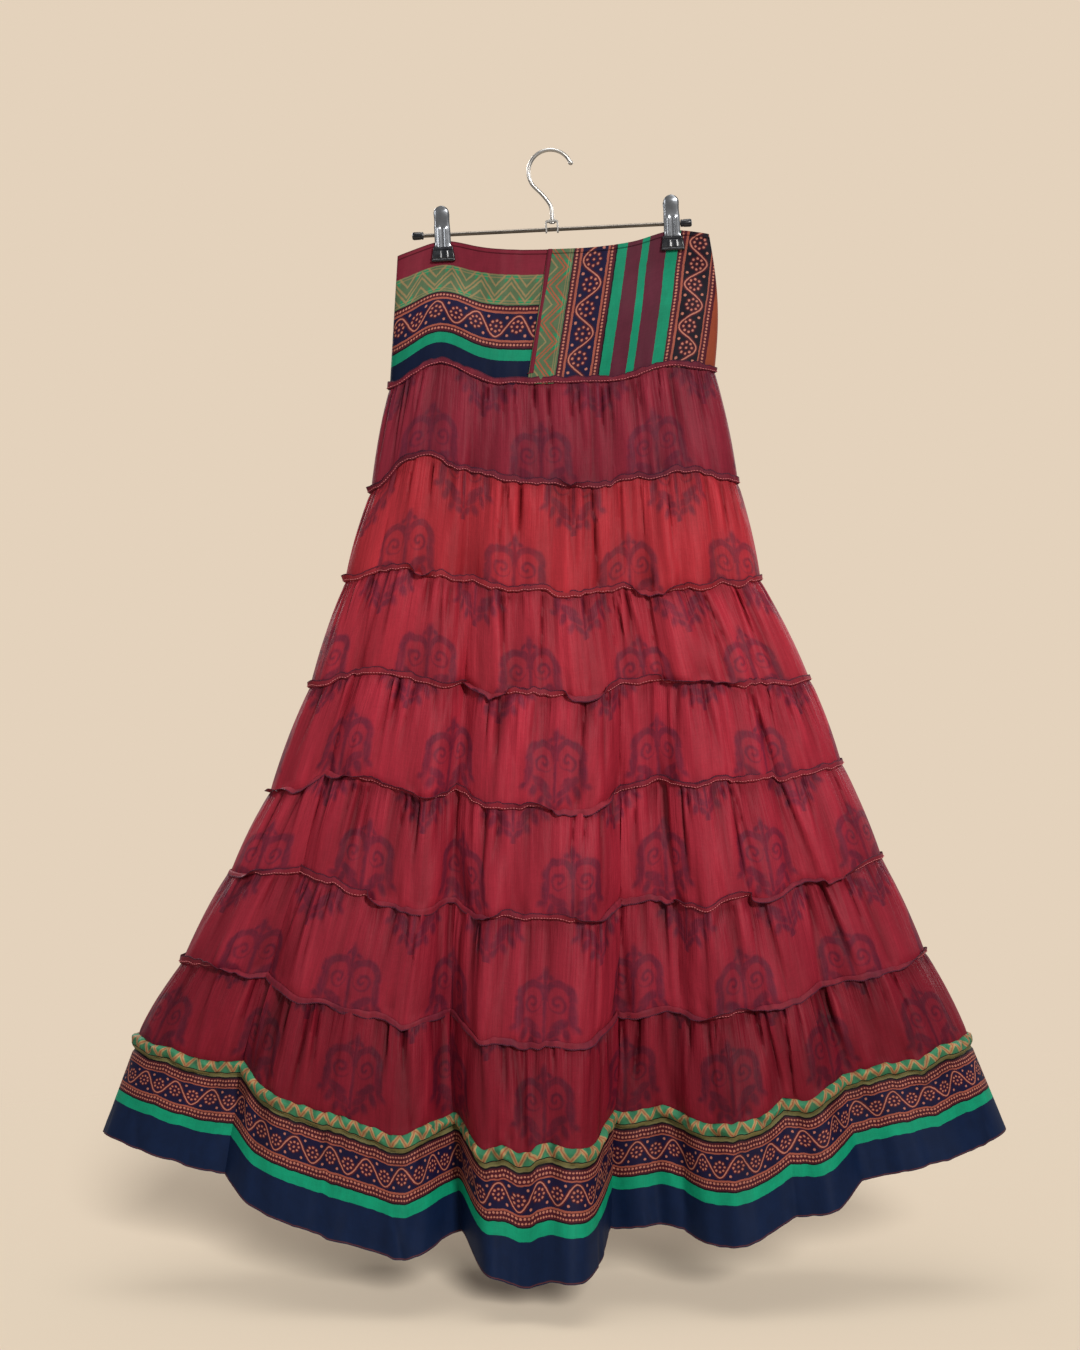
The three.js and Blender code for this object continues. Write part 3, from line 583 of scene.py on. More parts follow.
def flower_vine(paint, u, v, middle, half, pitch):
    """A wavy stem that passes over one dotted flower and under the next, with buds beside it."""
    swing = half * 0.8
    across = v - middle
    turn = u * (math.pi / pitch)
    stem = across + turn.sin() * swing
    slope = (turn.cos() * turn.cos()) * (1.1 * (swing * math.pi / pitch) ** 2) + 1.0
    stem = stem.abs() / slope.op("SQRT")
    paint.lay(MAROON, stem.within(1.9, 0.5))
    paint.lay(SALMON, stem.within(0.65, 0.3))
    x = (u - pitch / 2).wrap(pitch / 2)
    reach = hypot(x, across)
    angle = across.op("ARCTAN2", x).wrap(math.pi / 8)
    petal = hypot(reach * angle.cos() - pitch * 0.26, reach * angle.sin())
    petal = petal.min(reach)
    paint.lay(MAROON, petal.within(2.3, 0.5))
    paint.lay(SALMON, petal.within(1.15, 0.35))
    # buds: on the far side of the stem from each flower
    side = ((u - pitch / 2) / pitch).op("ROUND")
    flip = (side * math.pi).cos()
    bud = hypot(x.abs() - pitch * 0.44, across * flip - half * 0.68)
    paint.lay(SALMON, bud.within(1.4, 0.4))


def dot_row(paint, u, v, middle, pitch, size):
    dot = hypot(u.wrap(pitch / 2), v - middle)
    paint.lay(SALMON, dot.within(size, 0.25))


def zigzag(paint, u, v, start, end, pitch, line):
    """Thin nested chevrons in tan on olive, with small green triangles beside them."""
    height = end - start
    swing = height * 0.62
    place = u.wrap(pitch / 2).abs() / (pitch / 2)
    tooth = place * swing + ((start + end) / 2 - swing / 2)
    far = (v - tooth) * (1 / math.hypot(1, 2 * swing / pitch))
    span = v.inside(start + 0.5, end - 0.5)
    size = height / 31
    for reach, full in ((-5.2, 0.34), (5.2, 0.66)):
        beside = (far - reach * size).abs().within(2.0 * size, 0.3)
        paint.lay(GREEN_DULL, span * beside * place.ramp(0.5, full))
    for reach, color in ((-1.7, line), (1.7, line), (-8.0, CREAM), (8.0, line)):
        paint.lay(color, span * (far - reach * size).abs().within(0.85 * size, 0.3) * 0.9)
    for edge, way in ((start, 1), (end, -1)):
        for reach in (1.4, 4.0):
            paint.lay(CREAM, span * ((v - edge) * way - reach * size).abs().within(0.5 * size, 0.3) * 0.7)


def teeth(paint, u, v, start, end, pitch):
    """Triangles between sand-coloured double lines, with a dark line under them."""
    swing = end - start
    place = u.wrap(pitch / 2).abs() / (pitch / 2)
    tooth = place * swing * 1.1 + (start - swing * 0.05) + (paint.noise(paint.uv, 60.0, 2.0) - 0.5) * 7.0
    far = (v - tooth) * (1 / math.hypot(1, 2 * swing / pitch))
    span = v.inside(start, end)
    paint.lay(SAND, span * far.abs().within(2.3, 0.3) * 0.9)
    paint.lay(RUST, span * far.abs().within(0.55, 0.3) * 0.9)
    paint.lay(OLIVE, span * (far - 3.6).abs().within(0.6, 0.3) * 0.6)


def print_border(paint, u, v, bands):
    """Adds the drawn bands; each is a kind, where it starts and ends, and its pitch."""
    for kind, start, end, pitch in bands:
        middle = (start + end) / 2
        if kind == "vine":
            flower_vine(paint, u, v, middle, (end - start) / 2, pitch)
        elif kind == "dots":
            dot_row(paint, u, v, middle, pitch, pitch * 0.33)
        elif kind in ("zigzag", "warm zigzag"):
            zigzag(paint, u, v, start, end, pitch, CREAM if kind == "zigzag" else RUST)
        elif kind == "teeth":
            teeth(paint, u, v, start, end, pitch)


def woven(paint, u, v, normal=None):
    """Fine weave and slubs: a bump, and a faint change of shade along the threads."""
    threads = ((u * 5.2).sin() * 0.5 + (v * 5.2).sin() * 0.5)
    slub = paint.noise(paint.uv, 1.0, 2.0, stretch=(900, 80, 1))
    slub_across = paint.noise(paint.uv, 1.0, 2.0, stretch=(90, 700, 1))
    paint.shade(slub * 0.26 + slub_across * 0.24 + 0.75)
    return paint.bump(threads * 0.5 + slub * 2.0, 0.04, 0.5, normal)


def red_cloth(name, base, ink, shift, strength=0.86, gather=1.0):
    paint = Paint(name)
    u, v = paint.cloth_place()
    cloudy = paint.noise(paint.uv, 11.0, 3.0)
    streak = paint.noise(paint.uv, 1.0, 3.0, 0.6, stretch=(150, 9, 1))
    hair = paint.noise(paint.uv, 1.0, 2.0, 0.6, stretch=(520, 14, 1))
    paint.color = base
    edge = paint.noise(paint.uv, 150.0, 2.0, 0.6)
    mask = damask_mask(paint, u + shift[0] + edge * 2.4, v + shift[1] + edge * 2.0)
    fade = paint.noise(paint.uv, 75.0, 4.0, 0.7).ramp(0.28, 0.62)
    paint.lay(ink, mask * (fade * 0.4 + 0.6) * strength)
    # painted shadow: the cloth is made darker over its top 16 mm, just under the seam above it
    seam_shadow = v.ramp(16.0, 0.0) * 0.16
    sunk = paint.hollow()
    dyed = paint.noise(paint.uv, 2.6, 2.0, stretch=(1, 0.6, 1))
    # painted sheen: a paler red laid along streaks on the crests, out of the creases
    paint.lay(rgb(178, 70, 76), streak.ramp(0.5, 0.72) * sunk.ramp(0.6, -2.0) * 0.1)
    # uneven dye in cloudy and dyed patches; the streaks down the cloth are partly uneven dye and partly
    # painted shade of fine pleats
    paint.shade(cloudy * 0.34 + streak * 0.4 + dyed * 0.4 + hair * 0.4 + 0.27 - seam_shadow)
    # painted shade and highlight: darker where the cloth lies deep in a crease, lighter on its ridges
    paint.shade(sunk.ramp(-2.2, 4.0) * -0.72 + 1.30)
    fall = v.ramp(60.0, 2.0) * gather + 0.3
    fine = paint.noise(paint.uv, 1.0, 2.0, 0.6, stretch=(260, 10, 1)) * fall
    crinkle = paint.noise(paint.uv, 1.0, 3.0, 0.55, stretch=(64, 20, 1))
    normal = paint.bump(crinkle, 3.0, 0.55)
    normal = paint.bump(fine, 1.8, 0.8, normal)
    normal = woven(paint, u, v, normal)
    return paint.finish(0.56, 0.13, normal)


def overlock_cloth(name, base):
    """Seam-edge cloth: v is the distance from the rim, where thread is wrapped round it."""
    paint = Paint(name)
    u, v = paint.cloth_place()
    streak = paint.noise(paint.uv, 1.0, 3.0, stretch=(190, 40, 1))
    blotch = paint.noise(paint.uv, 26.0, 2.0).ramp(0.42, 0.62)
    paint.color = base
    paint.lay(PURPLE, blotch * 0.35 + 0.08)
    paint.shade(streak * 0.7 + 0.5)
    thread = (u * 3.3 + v * 2.0).sin()
    rim = v.within(1.15, 0.3)
    paint.lay(PURPLE, rim * (thread * 0.2 + 0.75))
    normal = paint.bump(thread * rim, 0.4, 0.8)
    normal = woven(paint, u, v, normal)
    return paint.finish(0.65, 0.18, normal, sheen=0.03, tint=(1.0, 0.6, 0.65))


def printed_cloth(name, length, stops, bands, turned=False, fold=0.0, light=0.94):
    """Cloth with stripes and drawn bands across `length` millimetres; `fold` is how far below its
    top edge a stitched fold ends, and `light` is how much of the dyes' own lightness shows."""
    paint = Paint(name)
    u, v = paint.cloth_place()
    down = v
    if turned:
        u, v = v, u
    stray = paint.noise(paint.uv, 160.0, 1.0)
    v = v + (stray - 0.5) * 1.0
    u = u + (paint.noise(paint.uv, 130.0, 1.0, stretch=(1, 1.3, 1)) - 0.5) * 1.2
    paint.stripes(v, length, stops)
    print_border(paint, u, v, bands)
    worn = paint.noise(paint.uv, 45.0, 3.0, 0.6)
    # painted shade of small creases: darker and lighter streaks down the cloth from a stretched noise; worn
    # is uneven wear
    crease_shade = paint.noise(paint.uv, 1.0, 3.0, 0.6, stretch=(60, 14, 1))
    paint.shade(worn * 0.4 + crease_shade * 0.4 + (light - 0.4))
    # painted shade and highlight: darker where the cloth lies deep in a crease, lighter on its ridges
    paint.shade(paint.hollow().ramp(-1.5, 3.0) * -0.6 + 1.2)
    normal = None
    if fold:
        # painted shade: a thin dark line along the stitched fold
        paint.shade((down - fold).abs().within(0.7, 0.4) * -0.45 + 1.0)
        normal = paint.bump(down.ramp(fold + 0.4, fold - 0.4), 0.5)
    normal = woven(paint, u, v, normal)
    return paint.finish(0.62, 0.12, normal)


def plain_cloth(name, base):
    paint = Paint(name)
    u, v = paint.cloth_place()
    paint.color = base
    paint.shade(paint.noise(paint.uv, 14.0, 3.0) * 0.4 + 0.8)
    return paint.finish(0.65, 0.12, woven(paint, u, v))


# ------------------------------------------------------------------ pieces


def keep(piece, slot, *nodes, materials):
    """Gives a piece its materials and body, and hides the CAD nodes that it stands for. `slot` is not used.
    """
    for material in materials:
        piece.data.materials.append(material)
    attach(piece, "root")
    if nodes:
        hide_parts(*nodes)
    return piece


SHOULDER = 0.35               # how high the cloth swells beside a crease, as a share of its depth


def crease(out, u, way, around, centre, deep, wide, long, lean, sway=0.0):
    """Cuts one valley into `out`, in millimetres: it starts at a seam and dies away."""
    tall = way.max()
    near = np.abs((u - centre + around / 2) % around - around / 2) < 6 * wide + abs(lean) * tall + 8
    if not near.any():
        return
    way_here = way[:, near]
    path = lean * way_here + sway * np.sin(way_here / long * 4)
    away = (u[near][None, :] - centre - path + around / 2) % around - around / 2
    t = away / (wide * (1 + 0.8 * np.clip(way_here / long, 0, 1)))
    t = np.where(t * (1 if sway >= 0 else -1) > 0, t * 1.35, t / 1.7)
    fade = 1 - smooth(0.25, 1.0, way_here / long)
    out[:, near] -= deep * fade * (np.exp(-np.abs(t) ** 1.6) - SHOULDER * np.exp(-(t / 2.4) ** 2))


def creases(u, v, around, seed, count, depth, width, length, slant=0.08, from_foot=False):
    """Valleys at random places; each range is low and high, in millimetres."""
    rng = np.random.default_rng(seed)
    out = np.zeros(v.shape)
    way = (v[-1][None, :] - v) if from_foot else v
    for _ in range(count):
        centre = rng.uniform(0, around)
        deep = rng.uniform(*depth)
        wide = rng.uniform(*width)
        long = rng.uniform(*length) * rng.uniform(0.6, 1.0)
        lean = rng.uniform(-slant, slant)
        crease(out, u, way, around, centre, deep, wide, long, lean, rng.uniform(-0.12, 0.12) * wide)
    return out


# The long sharp creases that stand out: tier, x where it starts, its depth, width, length and lean
LONG_CREASES = [
    (3, -150, 4.0, 2.4, 110, -0.05), (3, -106, 3.4, 2.2, 90, 0.03), (3, -47, 4.6, 2.2, 105, 0.02),
    (3, 4, 3.2, 2.0, 80, -0.04), (3, 74, 4.0, 2.4, 100, 0.10), (4, -146, 3.6, 2.4, 90, 0.05),
    (4, 52, 5.0, 3.0, 120, 0.02), (4, -14, 3.4, 2.2, 80, -0.03), (4, 150, 3.6, 2.6, 110, 0.10),
    (5, 48, 5.0, 3.2, 130, 0.03), (5, -90, 3.6, 2.4, 90, -0.06), (5, 176, 4.0, 2.6, 110, 0.12),
    (6, 44, 5.0, 3.2, 130, 0.02), (6, -20, 3.6, 2.4, 90, 0.0), (6, -150, 3.6, 2.6, 100, -0.10),
    (7, -25, 4.0, 3.0, 110, 0.0), (7, 150, 3.6, 3.0, 110, 0.08), (2, -60, 3.0, 2.2, 80, 0.0),
    (2, 88, 3.0, 2.2, 90, 0.05), (1, -20, 2.6, 2.0, 70, 0.0), (1, 100, 2.6, 2.0, 80, 0.04),
    (4, 196, 6.0, 3.2, 115, 0.12), (5, 225, 6.5, 3.4, 120, 0.12), (6, 262, 7.0, 3.4, 125, 0.10),
    (7, 262, 7.0, 3.8, 125, 0.10), (6, 205, 5.0, 3.0, 110, 0.08), (7, 205, 5.5, 3.2, 115, 0.06),
    (5, -190, 5.0, 3.0, 110, -0.10), (6, -235, 5.5, 3.0, 110, -0.10), (7, -262, 6.0, 3.4, 115, -0.10),
    (7, -105, 5.5, 3.2, 115, -0.04), (4, -60, 4.5, 2.8, 90, 0.0), (5, 110, 5.0, 2.8, 110, 0.06),
    (6, 110, 5.5, 3.0, 115, 0.05), (3, 150, 5.0, 2.8, 100, 0.10), (6, -95, 5.0, 3.0, 115, -0.03),
]

# The small creases: seed, millimetres between them, depth, width, length, slant, whether they rise from
# the foot; the last ones are narrow gathers, which lie closer on the first tier
NARROW_SEED, NARROW_ON_FIRST = 350, 20
TIER_CREASES = [
    (100, 8, (0.5, 1.9), (1.5, 2.8), (12, 48), 0.08),
    (200, 24, (1.8, 4.4), (2.6, 6.0), (50, 170), 0.12),
    (300, 42, (0.8, 2.2), (2.6, 6.0), (25, 70), 0.15, True),
    (NARROW_SEED, 44, (2.8, 5.0), (1.4, 2.1), (60, 150), 0.10),
]

# Each tier's colour, and where a motif of its second row lies: its x at the tier's foot, and how far
# it is below the seam. The colours are lighter and darker copies of one red, partly the pieces' own
# tone and partly painted light and shade set for how each tier is lit.
TIER_LOOK = {
    1: (rgb(118, 28, 44), -8, 80),
    2: (rgb(156, 38, 47), -35, 94),
    3: (rgb(146, 35, 48), -18, 88),
    4: (rgb(144, 33, 48), 4, 74),
    5: (rgb(136, 31, 46), 22, 78),
    6: (rgb(127, 28, 43), 81, 88),
    7: (rgb(106, 17, 32), -6, 64),
}
TIER_ROWS = 36
TIER_BELLY = 2.5              # how far a tier swells between its seams


def round_at(row, u, columns, x):
    """The way round, in millimetres, at which the front of a row of points reaches x."""
    front = columns.side == FRONT
    return float(np.interp(x, np.maximum.accumulate(row[front, 0]), u[:-1][front]))


def columns_at(level, front_step, back_step):
    """Columns about as far apart, in millimetres, as the steps for the front and the back."""
    wide = LEVELS[level, 1] - LEVELS[level, 0]
    return Columns(int(wide * 1.16 / front_step), int(wide * 1.1 / back_step))


def tier_piece(tier):
    """One gathered tier, and its way round, its height and where its motif lies."""
    top, foot = YOKE_SEAM + tier - 1, YOKE_SEAM + tier
    columns = columns_at(foot, 1.8, 4.4)
    share = np.linspace(0, 1, TIER_ROWS)
    grid = skirt_grid(columns, top + share * 0.9999)
    normal = grid_normals(grid, True)
    u = run_round(grid[-1])
    v = run_down(grid)
    around = u[-1]
    f = share[:, None]
    belly = TIER_BELLY * np.sin(np.pi * f) ** 0.7
    way = u[:-1]
    relief = np.zeros(v.shape)
    for seed, spacing, *look in TIER_CREASES:
        if seed == NARROW_SEED and tier == 1:
            spacing = NARROW_ON_FIRST
        relief += creases(way, v, around, seed + tier, int(around / spacing), *look)
    for at_tier, x, *look in LONG_CREASES:
        if at_tier == tier:
            crease(relief, way, v, around, round_at(grid[0], u, columns, x), *look)
    turn = 2 * way[None, :] / around
    pleats = drifting_wave(400 + tier, int(around / 17), turn, top + f) * 1.5
    pleats = pleats + drifting_wave(440 + tier, int(around / 9), turn, top + f) * 0.7
    hold = (0.35 + 0.65 * smooth(0, 0.07, f)) * (0.25 + 0.75 * (1 - smooth(0.93, 1, f)))
    ends = np.abs(2 * columns.share(np.array([[foot]]))[0] - 1) ** 14
    relief = (relief + pleats) * hold * (1 - 0.6 * ends)
    outer = grid + normal * (belly + relief)[..., None]
    piece = cloth_wall(f"tier_{tier}_cloth", outer, u, v, True, hollow=-relief)
    return piece, around, v[-1].mean(), round_at(grid[-1], u, columns, TIER_LOOK[tier][1])


EDGE_CLOTH, EDGE_ROWS = 0.45, 7              # a seam edge's thickness, and its rows from seam to rim
EDGE_LENGTH, YOKE_EDGE_LENGTH = 6.4, 6.6     # how far the tiers' seam edges stand out, and the yoke's


def flipped_edge(name, level, seed, lean_mean, lean_swing, length, layer, columns):
    """A strip of seam allowance that stands out from a seam line and lies up or down along it."""
    step = 0.055
    up_row, seam, low_row = skirt_grid(columns, [level - step, level, level + step])
    share = columns.share(np.array([[level]]))[0]
    place = place_round(columns.side, share)
    around = run_round(seam)
    out = grid_normals(np.stack([up_row, seam, low_row]), True)[1]
    # lean: 1 lies up along the cloth above, -1 down along the cloth below
    lean = np.tanh(3.2 * (lean_mean + lean_swing * wave(seed, 22, place))) * 0.97
    uneven = 1 + 0.24 * wave(seed + 2 + layer, 70, place) + 0.08 * wave(seed + 4, 260, place)
    size = length * uneven - layer * 1.4
    frill = 0.5 * wave(seed + 5 + layer, 170, place) + 0.35 * wave(seed + 7, 390, place)
    way = np.where(lean[:, None] > 0, unit(up_row - seam), unit(low_row - seam))
    rows = [seam + out * (0.5 + 0.6 * (1 - layer))]
    for along in np.linspace(0, 1, EDGE_ROWS)[1:]:
        angle = np.abs(lean) * (math.pi / 2) * (0.52 + 0.5 * smooth(0, 0.5, along)) - 0.10 * frill
        flat = out * np.cos(angle)[:, None] + way * np.sin(angle)[:, None]
        rows.append(rows[-1] + flat * (size / (EDGE_ROWS - 1))[:, None] + out * (frill * 0.16)[:, None])
    rows = np.array(rows)
    v = size[None, :] * np.linspace(1, 0, EDGE_ROWS)[:, None]
    piece = cloth_wall(name, rows, around, v, True, EDGE_CLOTH)
    return piece, rows, out, lean


def stitch_dashes(name, line, along_out, shown, spacing=2.9, length=2.2, half=0.42):
    """Short raised stitches along a closed line, where `shown` is true."""
    around = run_round(line)
    starts = np.arange(int(around[-1] / spacing)) * around[-1] / int(around[-1] / spacing)

    def along_line(values, at):
        """Values that belong to the line's points, read at places along it."""
        return np.stack([np.interp(at, around, np.append(column, column[0])) for column in values.T], -1)

    starts = starts[along_line(shown[:, None].astype(float), starts)[:, 0] > 0.5]
    ends = np.minimum(starts + length, around[-1])
    vertices, faces = [], []
    for a, b, normal in zip(along_line(line, starts), along_line(line, ends), along_line(along_out, starts)):
        size = np.linalg.norm(b - a)
        if size < 0.2:
            continue
        side = np.cross((b - a) / size, normal)
        base = len(vertices)
        for t, wide in ((0, 0.55), (0.5, 1.0), (1, 0.55)):
            centre = a + (b - a) * t + normal * half * 0.5 * math.sin(math.pi * t)
            for turn in (0.25, 0.75, 1.25, 1.75):
                spoke = side * math.cos(math.pi * turn) + normal * math.sin(math.pi * turn)
                vertices.append(centre + spoke * half * wide)
        for first in (base, base + 4):
            for q, r in ((0, 1), (1, 2), (2, 3), (3, 0)):
                faces.append([first + q, first + r, first + r + 4, first + q + 4])
        faces += [[base + 3, base + 2, base + 1, base], [base + 8, base + 9, base + 10, base + 11]]
    return build_mesh(name, vertices, faces, sharp=None)


# ------------------------------------------------------------------ tiers

INK_SHARES = (0.36, 0.66, 0.92)      # the print's red, green and blue as shares of the cloth's
inside_red = red_cloth("cloth_red_inside", rgb(128, 36, 46), rgb(92, 28, 50), (0, MOTIF_DROP / 2), 0.5, 0.6)

tier_sizes = {}
for tier in range(1, 8):
    piece, around, tall, motif = tier_piece(tier)
    shift = (MOTIF_PITCH / 2 - motif, 1.5 * MOTIF_DROP - TIER_LOOK[tier][2])
    base = TIER_LOOK[tier][0]
    ink = tuple(part * share for part, share in zip(base, INK_SHARES))
    cloth = red_cloth(f"cloth_red_{tier}", base, ink, shift, 0.7 if tier == 1 else 0.86)
    keep(piece, "red_cloth", f"tier_{tier}", materials=(cloth, inside_red))
    tier_sizes[tier] = (around, tall)

STITCH_LIFT = 0.9                    # how far the stitches lie off the middle of the seam edge's foot
# for each seam, how its edges lean: 1 is up and -1 is down, and how far that swings
FRILLS = {2: (0.5, 0.9), 3: (0.5, 0.9), 4: (0.35, 0.9), 5: (0.3, 0.9), 6: (0.1, 0.9), 7: (-0.45, 0.9)}
thread = plain_cloth("thread_pink", rgb(202, 112, 116))
for level, (mean, swing) in FRILLS.items():
    tier = level - 1
    columns = columns_at(level, 2.4, 5.2)
    edge_cloth = overlock_cloth(f"cloth_seam_edge_{tier}", TIER_LOOK[tier][0])
    for layer in (0, 1):
        piece, rows, out, lean = flipped_edge(f"seam_{tier}_edge_{layer + 1}", level, 900 + 10 * level, mean,
                                              swing, EDGE_LENGTH, layer, columns)
        keep(piece, "red_cloth", materials=(edge_cloth, edge_cloth))
        if layer == 0:
            line = rows[1] + out * STITCH_LIFT
            stitches = stitch_dashes(f"seam_{tier}_stitches", line, out, lean > 0.3)
            keep(stitches, "red_cloth", materials=(thread,))

# ------------------------------------------------------------------ yoke

YOKE_LENGTH = 136                            # how far the print reaches down the left panel
RIGHT_LENGTH = 190                           # and how far across the right one
STITCHED_FOLD = 4.5                          # how far below the waist edge its fold is stitched
YOKE_STOPS = [
    (0, rgb(92, 24, 38)), (0.8, rgb(118, 32, 48)), (25, OLIVE), (56, BLACK), (57, MAROON), (62.5, ORANGE),
    (64.6, NAVY), (91.6, ORANGE), (93.7, MAROON), (99.5, BLACK), (101, GREEN), (112.5, NAVY_DEEP)]
YOKE_BANDS = [
    ("zigzag", 25, 56, 31), ("dots", 57, 62.5, 3.4), ("vine", 64.6, 91.6, 21), ("dots", 93.7, 99.5, 3.4)]
RIGHT_STOPS = [
    (0, OLIVE), (26, BLACK), (27, MAROON), (33, ORANGE), (35, NAVY), (60.6, ORANGE), (62.6, MAROON),
    (68.5, BLACK), (70, GREEN), (80.5, WINE), (96.5, GREEN), (105, WINE), (124, GREEN), (136, MAROON),
    (143, ORANGE), (145, rgb(24, 16, 28)), (170, ORANGE), (172, MAROON), (179, rgb(142, 66, 44))]
RIGHT_BANDS = [
    ("warm zigzag", 0, 26, 38), ("dots", 27, 33, 3.4), ("vine", 35, 60.6, 25), ("dots", 62.6, 68.5, 3.4),
    ("dots", 136, 143, 3.4), ("vine", 145, 170, 22), ("dots", 172, 179, 3.4)]

# the way across the right panel is measured from its lapped edge, so its stripes lean with it
yoke_left_cloth = printed_cloth("cloth_yoke_left", YOKE_LENGTH, YOKE_STOPS, YOKE_BANDS, fold=STITCHED_FOLD)
yoke_right_cloth = printed_cloth("cloth_yoke_right", RIGHT_LENGTH, RIGHT_STOPS, RIGHT_BANDS, turned=True,
                                 fold=STITCHED_FOLD)
yoke_inside = plain_cloth("cloth_yoke_inside", rgb(96, 60, 62))
band_cloth = overlock_cloth("cloth_seam_band", rgb(118, 27, 44))
binding_cloth = plain_cloth("cloth_binding", rgb(104, 26, 44))


def lap_lift(share, level):
    """How far the right panel stands out where it lies over the left one."""
    edge = OVERLAP_TOP + LAP_SHIFT * np.minimum(level, 1)
    rise = smooth(edge - 0.06, edge - 0.004, share)
    fall = 1 - smooth(edge + 0.06, edge + 0.15, share)
    return 1.6 * rise * fall


def yoke_grid(side, shares, levels, lean, lifted):
    """Points of a yoke panel; `lean` moves its columns sideways on their way down."""
    level = np.asarray(levels)[:, None]
    share = shares[None, :] + lean(shares[None, :], level)
    x, y, z = tube(side, share, np.broadcast_to(level, share.shape))
    place = place_round(side, share)
    calm = 1 - np.abs(2 * share - 1) ** 10
    gripped = np.minimum(np.abs(x - CLIP_X[0]), np.abs(x - CLIP_X[1]))
    loose = smooth(14, 40, gripped) + smooth(0.25, 0.45, level)
    slack = calm * np.clip(loose, 0, 1)
    relief = 1.1 * drifting_wave(30, 34, place, level * 2.4) + 0.5 * drifting_wave(50, 90, place, level * 3.1)
    pull = sum(sign * bell((x - clip) - lean_x * (z + 110), 7 + 10 * level)
               for clip in CLIP_X for sign, lean_x in ((1.2, 0.42), (1.2, -0.42), (-0.9, 0.0)))
    y = y + side * (slack * (relief + pull * (1 - level) * 1.9) + (lap_lift(share, level) if lifted else 0))
    return np.stack([x, y, z], -1)


def even_shares(start, end, count, ending):
    """Shares of the width, closer together at the ends that turn round the side."""
    along = np.linspace(0, 1, count)
    if ending == "left":
        along = 1 - np.cos(np.pi / 2 * along)
    if ending == "right":
        along = np.sin(np.pi / 2 * along)
    if ending == "both":
        along = (1 - np.cos(np.pi * along)) / 2
    return start + (end - start) * along


YOKE_ROWS = np.linspace(0, 1, 60)
END_GAP = 2e-5                               # a panel's side edge stops this share short of the side seam


def yoke_piece(name, side, shares, lean, lifted, nominal=None):
    """A yoke panel; `nominal` is the length of print that each column shows, whatever its own."""
    grid = yoke_grid(side, shares, YOKE_ROWS, lean, lifted)
    if side == BACK:
        grid = grid[:, ::-1]
    u = np.array([run_round(row, closed=False) for row in grid])
    v = run_down(grid)
    if nominal:
        v = v / v[-1] * nominal
    return cloth_wall(name, grid, u, v, False)


LEFT_END = OVERLAP_TOP + OVERLAP_UNDER


def lean_left(share, level):
    return LAP_SHIFT * level * smooth(0.25, LEFT_END, share)


def lean_right(share, level):
    return LAP_SHIFT * level * (1 - smooth(OVERLAP_TOP, 0.75, share))


def upright(share, level):
    return 0 * share * level


yoke_left = yoke_piece("yoke_left_cloth_piece", FRONT, even_shares(END_GAP, LEFT_END, 110, "left"),
                       lean_left, False, YOKE_LENGTH)
yoke_right = yoke_piece("yoke_right_cloth_piece", FRONT, even_shares(OVERLAP_TOP, 1 - END_GAP, 110, "right"),
                        lean_right, True)
yoke_back = yoke_piece("yoke_back_cloth_piece", BACK, even_shares(END_GAP, 1 - END_GAP, 150, "both"),
                       upright, False, YOKE_LENGTH)
keep(yoke_left, "yoke_left_cloth", "yoke_front_left", materials=(yoke_left_cloth, yoke_inside))
keep(yoke_right, "yoke_right_cloth", "yoke_front_right", materials=(yoke_right_cloth, yoke_inside))
keep(yoke_back, "yoke_left_cloth", "yoke_back", materials=(yoke_left_cloth, yoke_inside))

# the binding on the lapped edge
BINDING_WIDE, BINDING_CLOTH = 0.0145, 0.7    # its width as a share of the yoke's, and its thickness
edge = OVERLAP_TOP + LAP_SHIFT * YOKE_ROWS
binding_grid = []
for part in np.linspace(0, 1, 7):
    share = edge + 0.0005 + BINDING_WIDE * part
    x, y, z = tube(np.array(FRONT), share, np.minimum(YOKE_ROWS, 0.92))
    lift = lap_lift(share, YOKE_ROWS) + 0.3 + 1.3 * math.sin(math.pi * part) ** 0.6
    binding_grid.append(np.stack([x, y - lift, z], -1))
binding_grid = np.array(binding_grid).transpose(1, 0, 2)
binding = cloth_wall("yoke_binding_strip", binding_grid, run_round(binding_grid[0], False),
                     run_down(binding_grid), False, BINDING_CLOTH)
keep(binding, "binding_cloth", "yoke_lap_binding", materials=(binding_cloth, binding_cloth))

# the first tier's seam edge stands up over the foot of the yoke
band, rows, out, lean = flipped_edge("yoke_seam_band", YOKE_SEAM, 70, 1.5, 0.0, YOKE_EDGE_LENGTH, 0,
                                     Columns(190, 130))
keep(band, "red_cloth", materials=(band_cloth, band_cloth))
stitches = stitch_dashes("yoke_seam_stitches", rows[1] + out * STITCH_LIFT, out, lean > 0)
keep(stitches, "red_cloth", materials=(thread,))

# ------------------------------------------------------------------ hem border

BORDER_LENGTH, BORDER_CLOTH = 135, 0.9       # how far the print reaches down, and the cloth's thickness
TUCK_HEIGHT, TUCK_DEPTH = 15.5, 4.4          # the raised tuck at its top
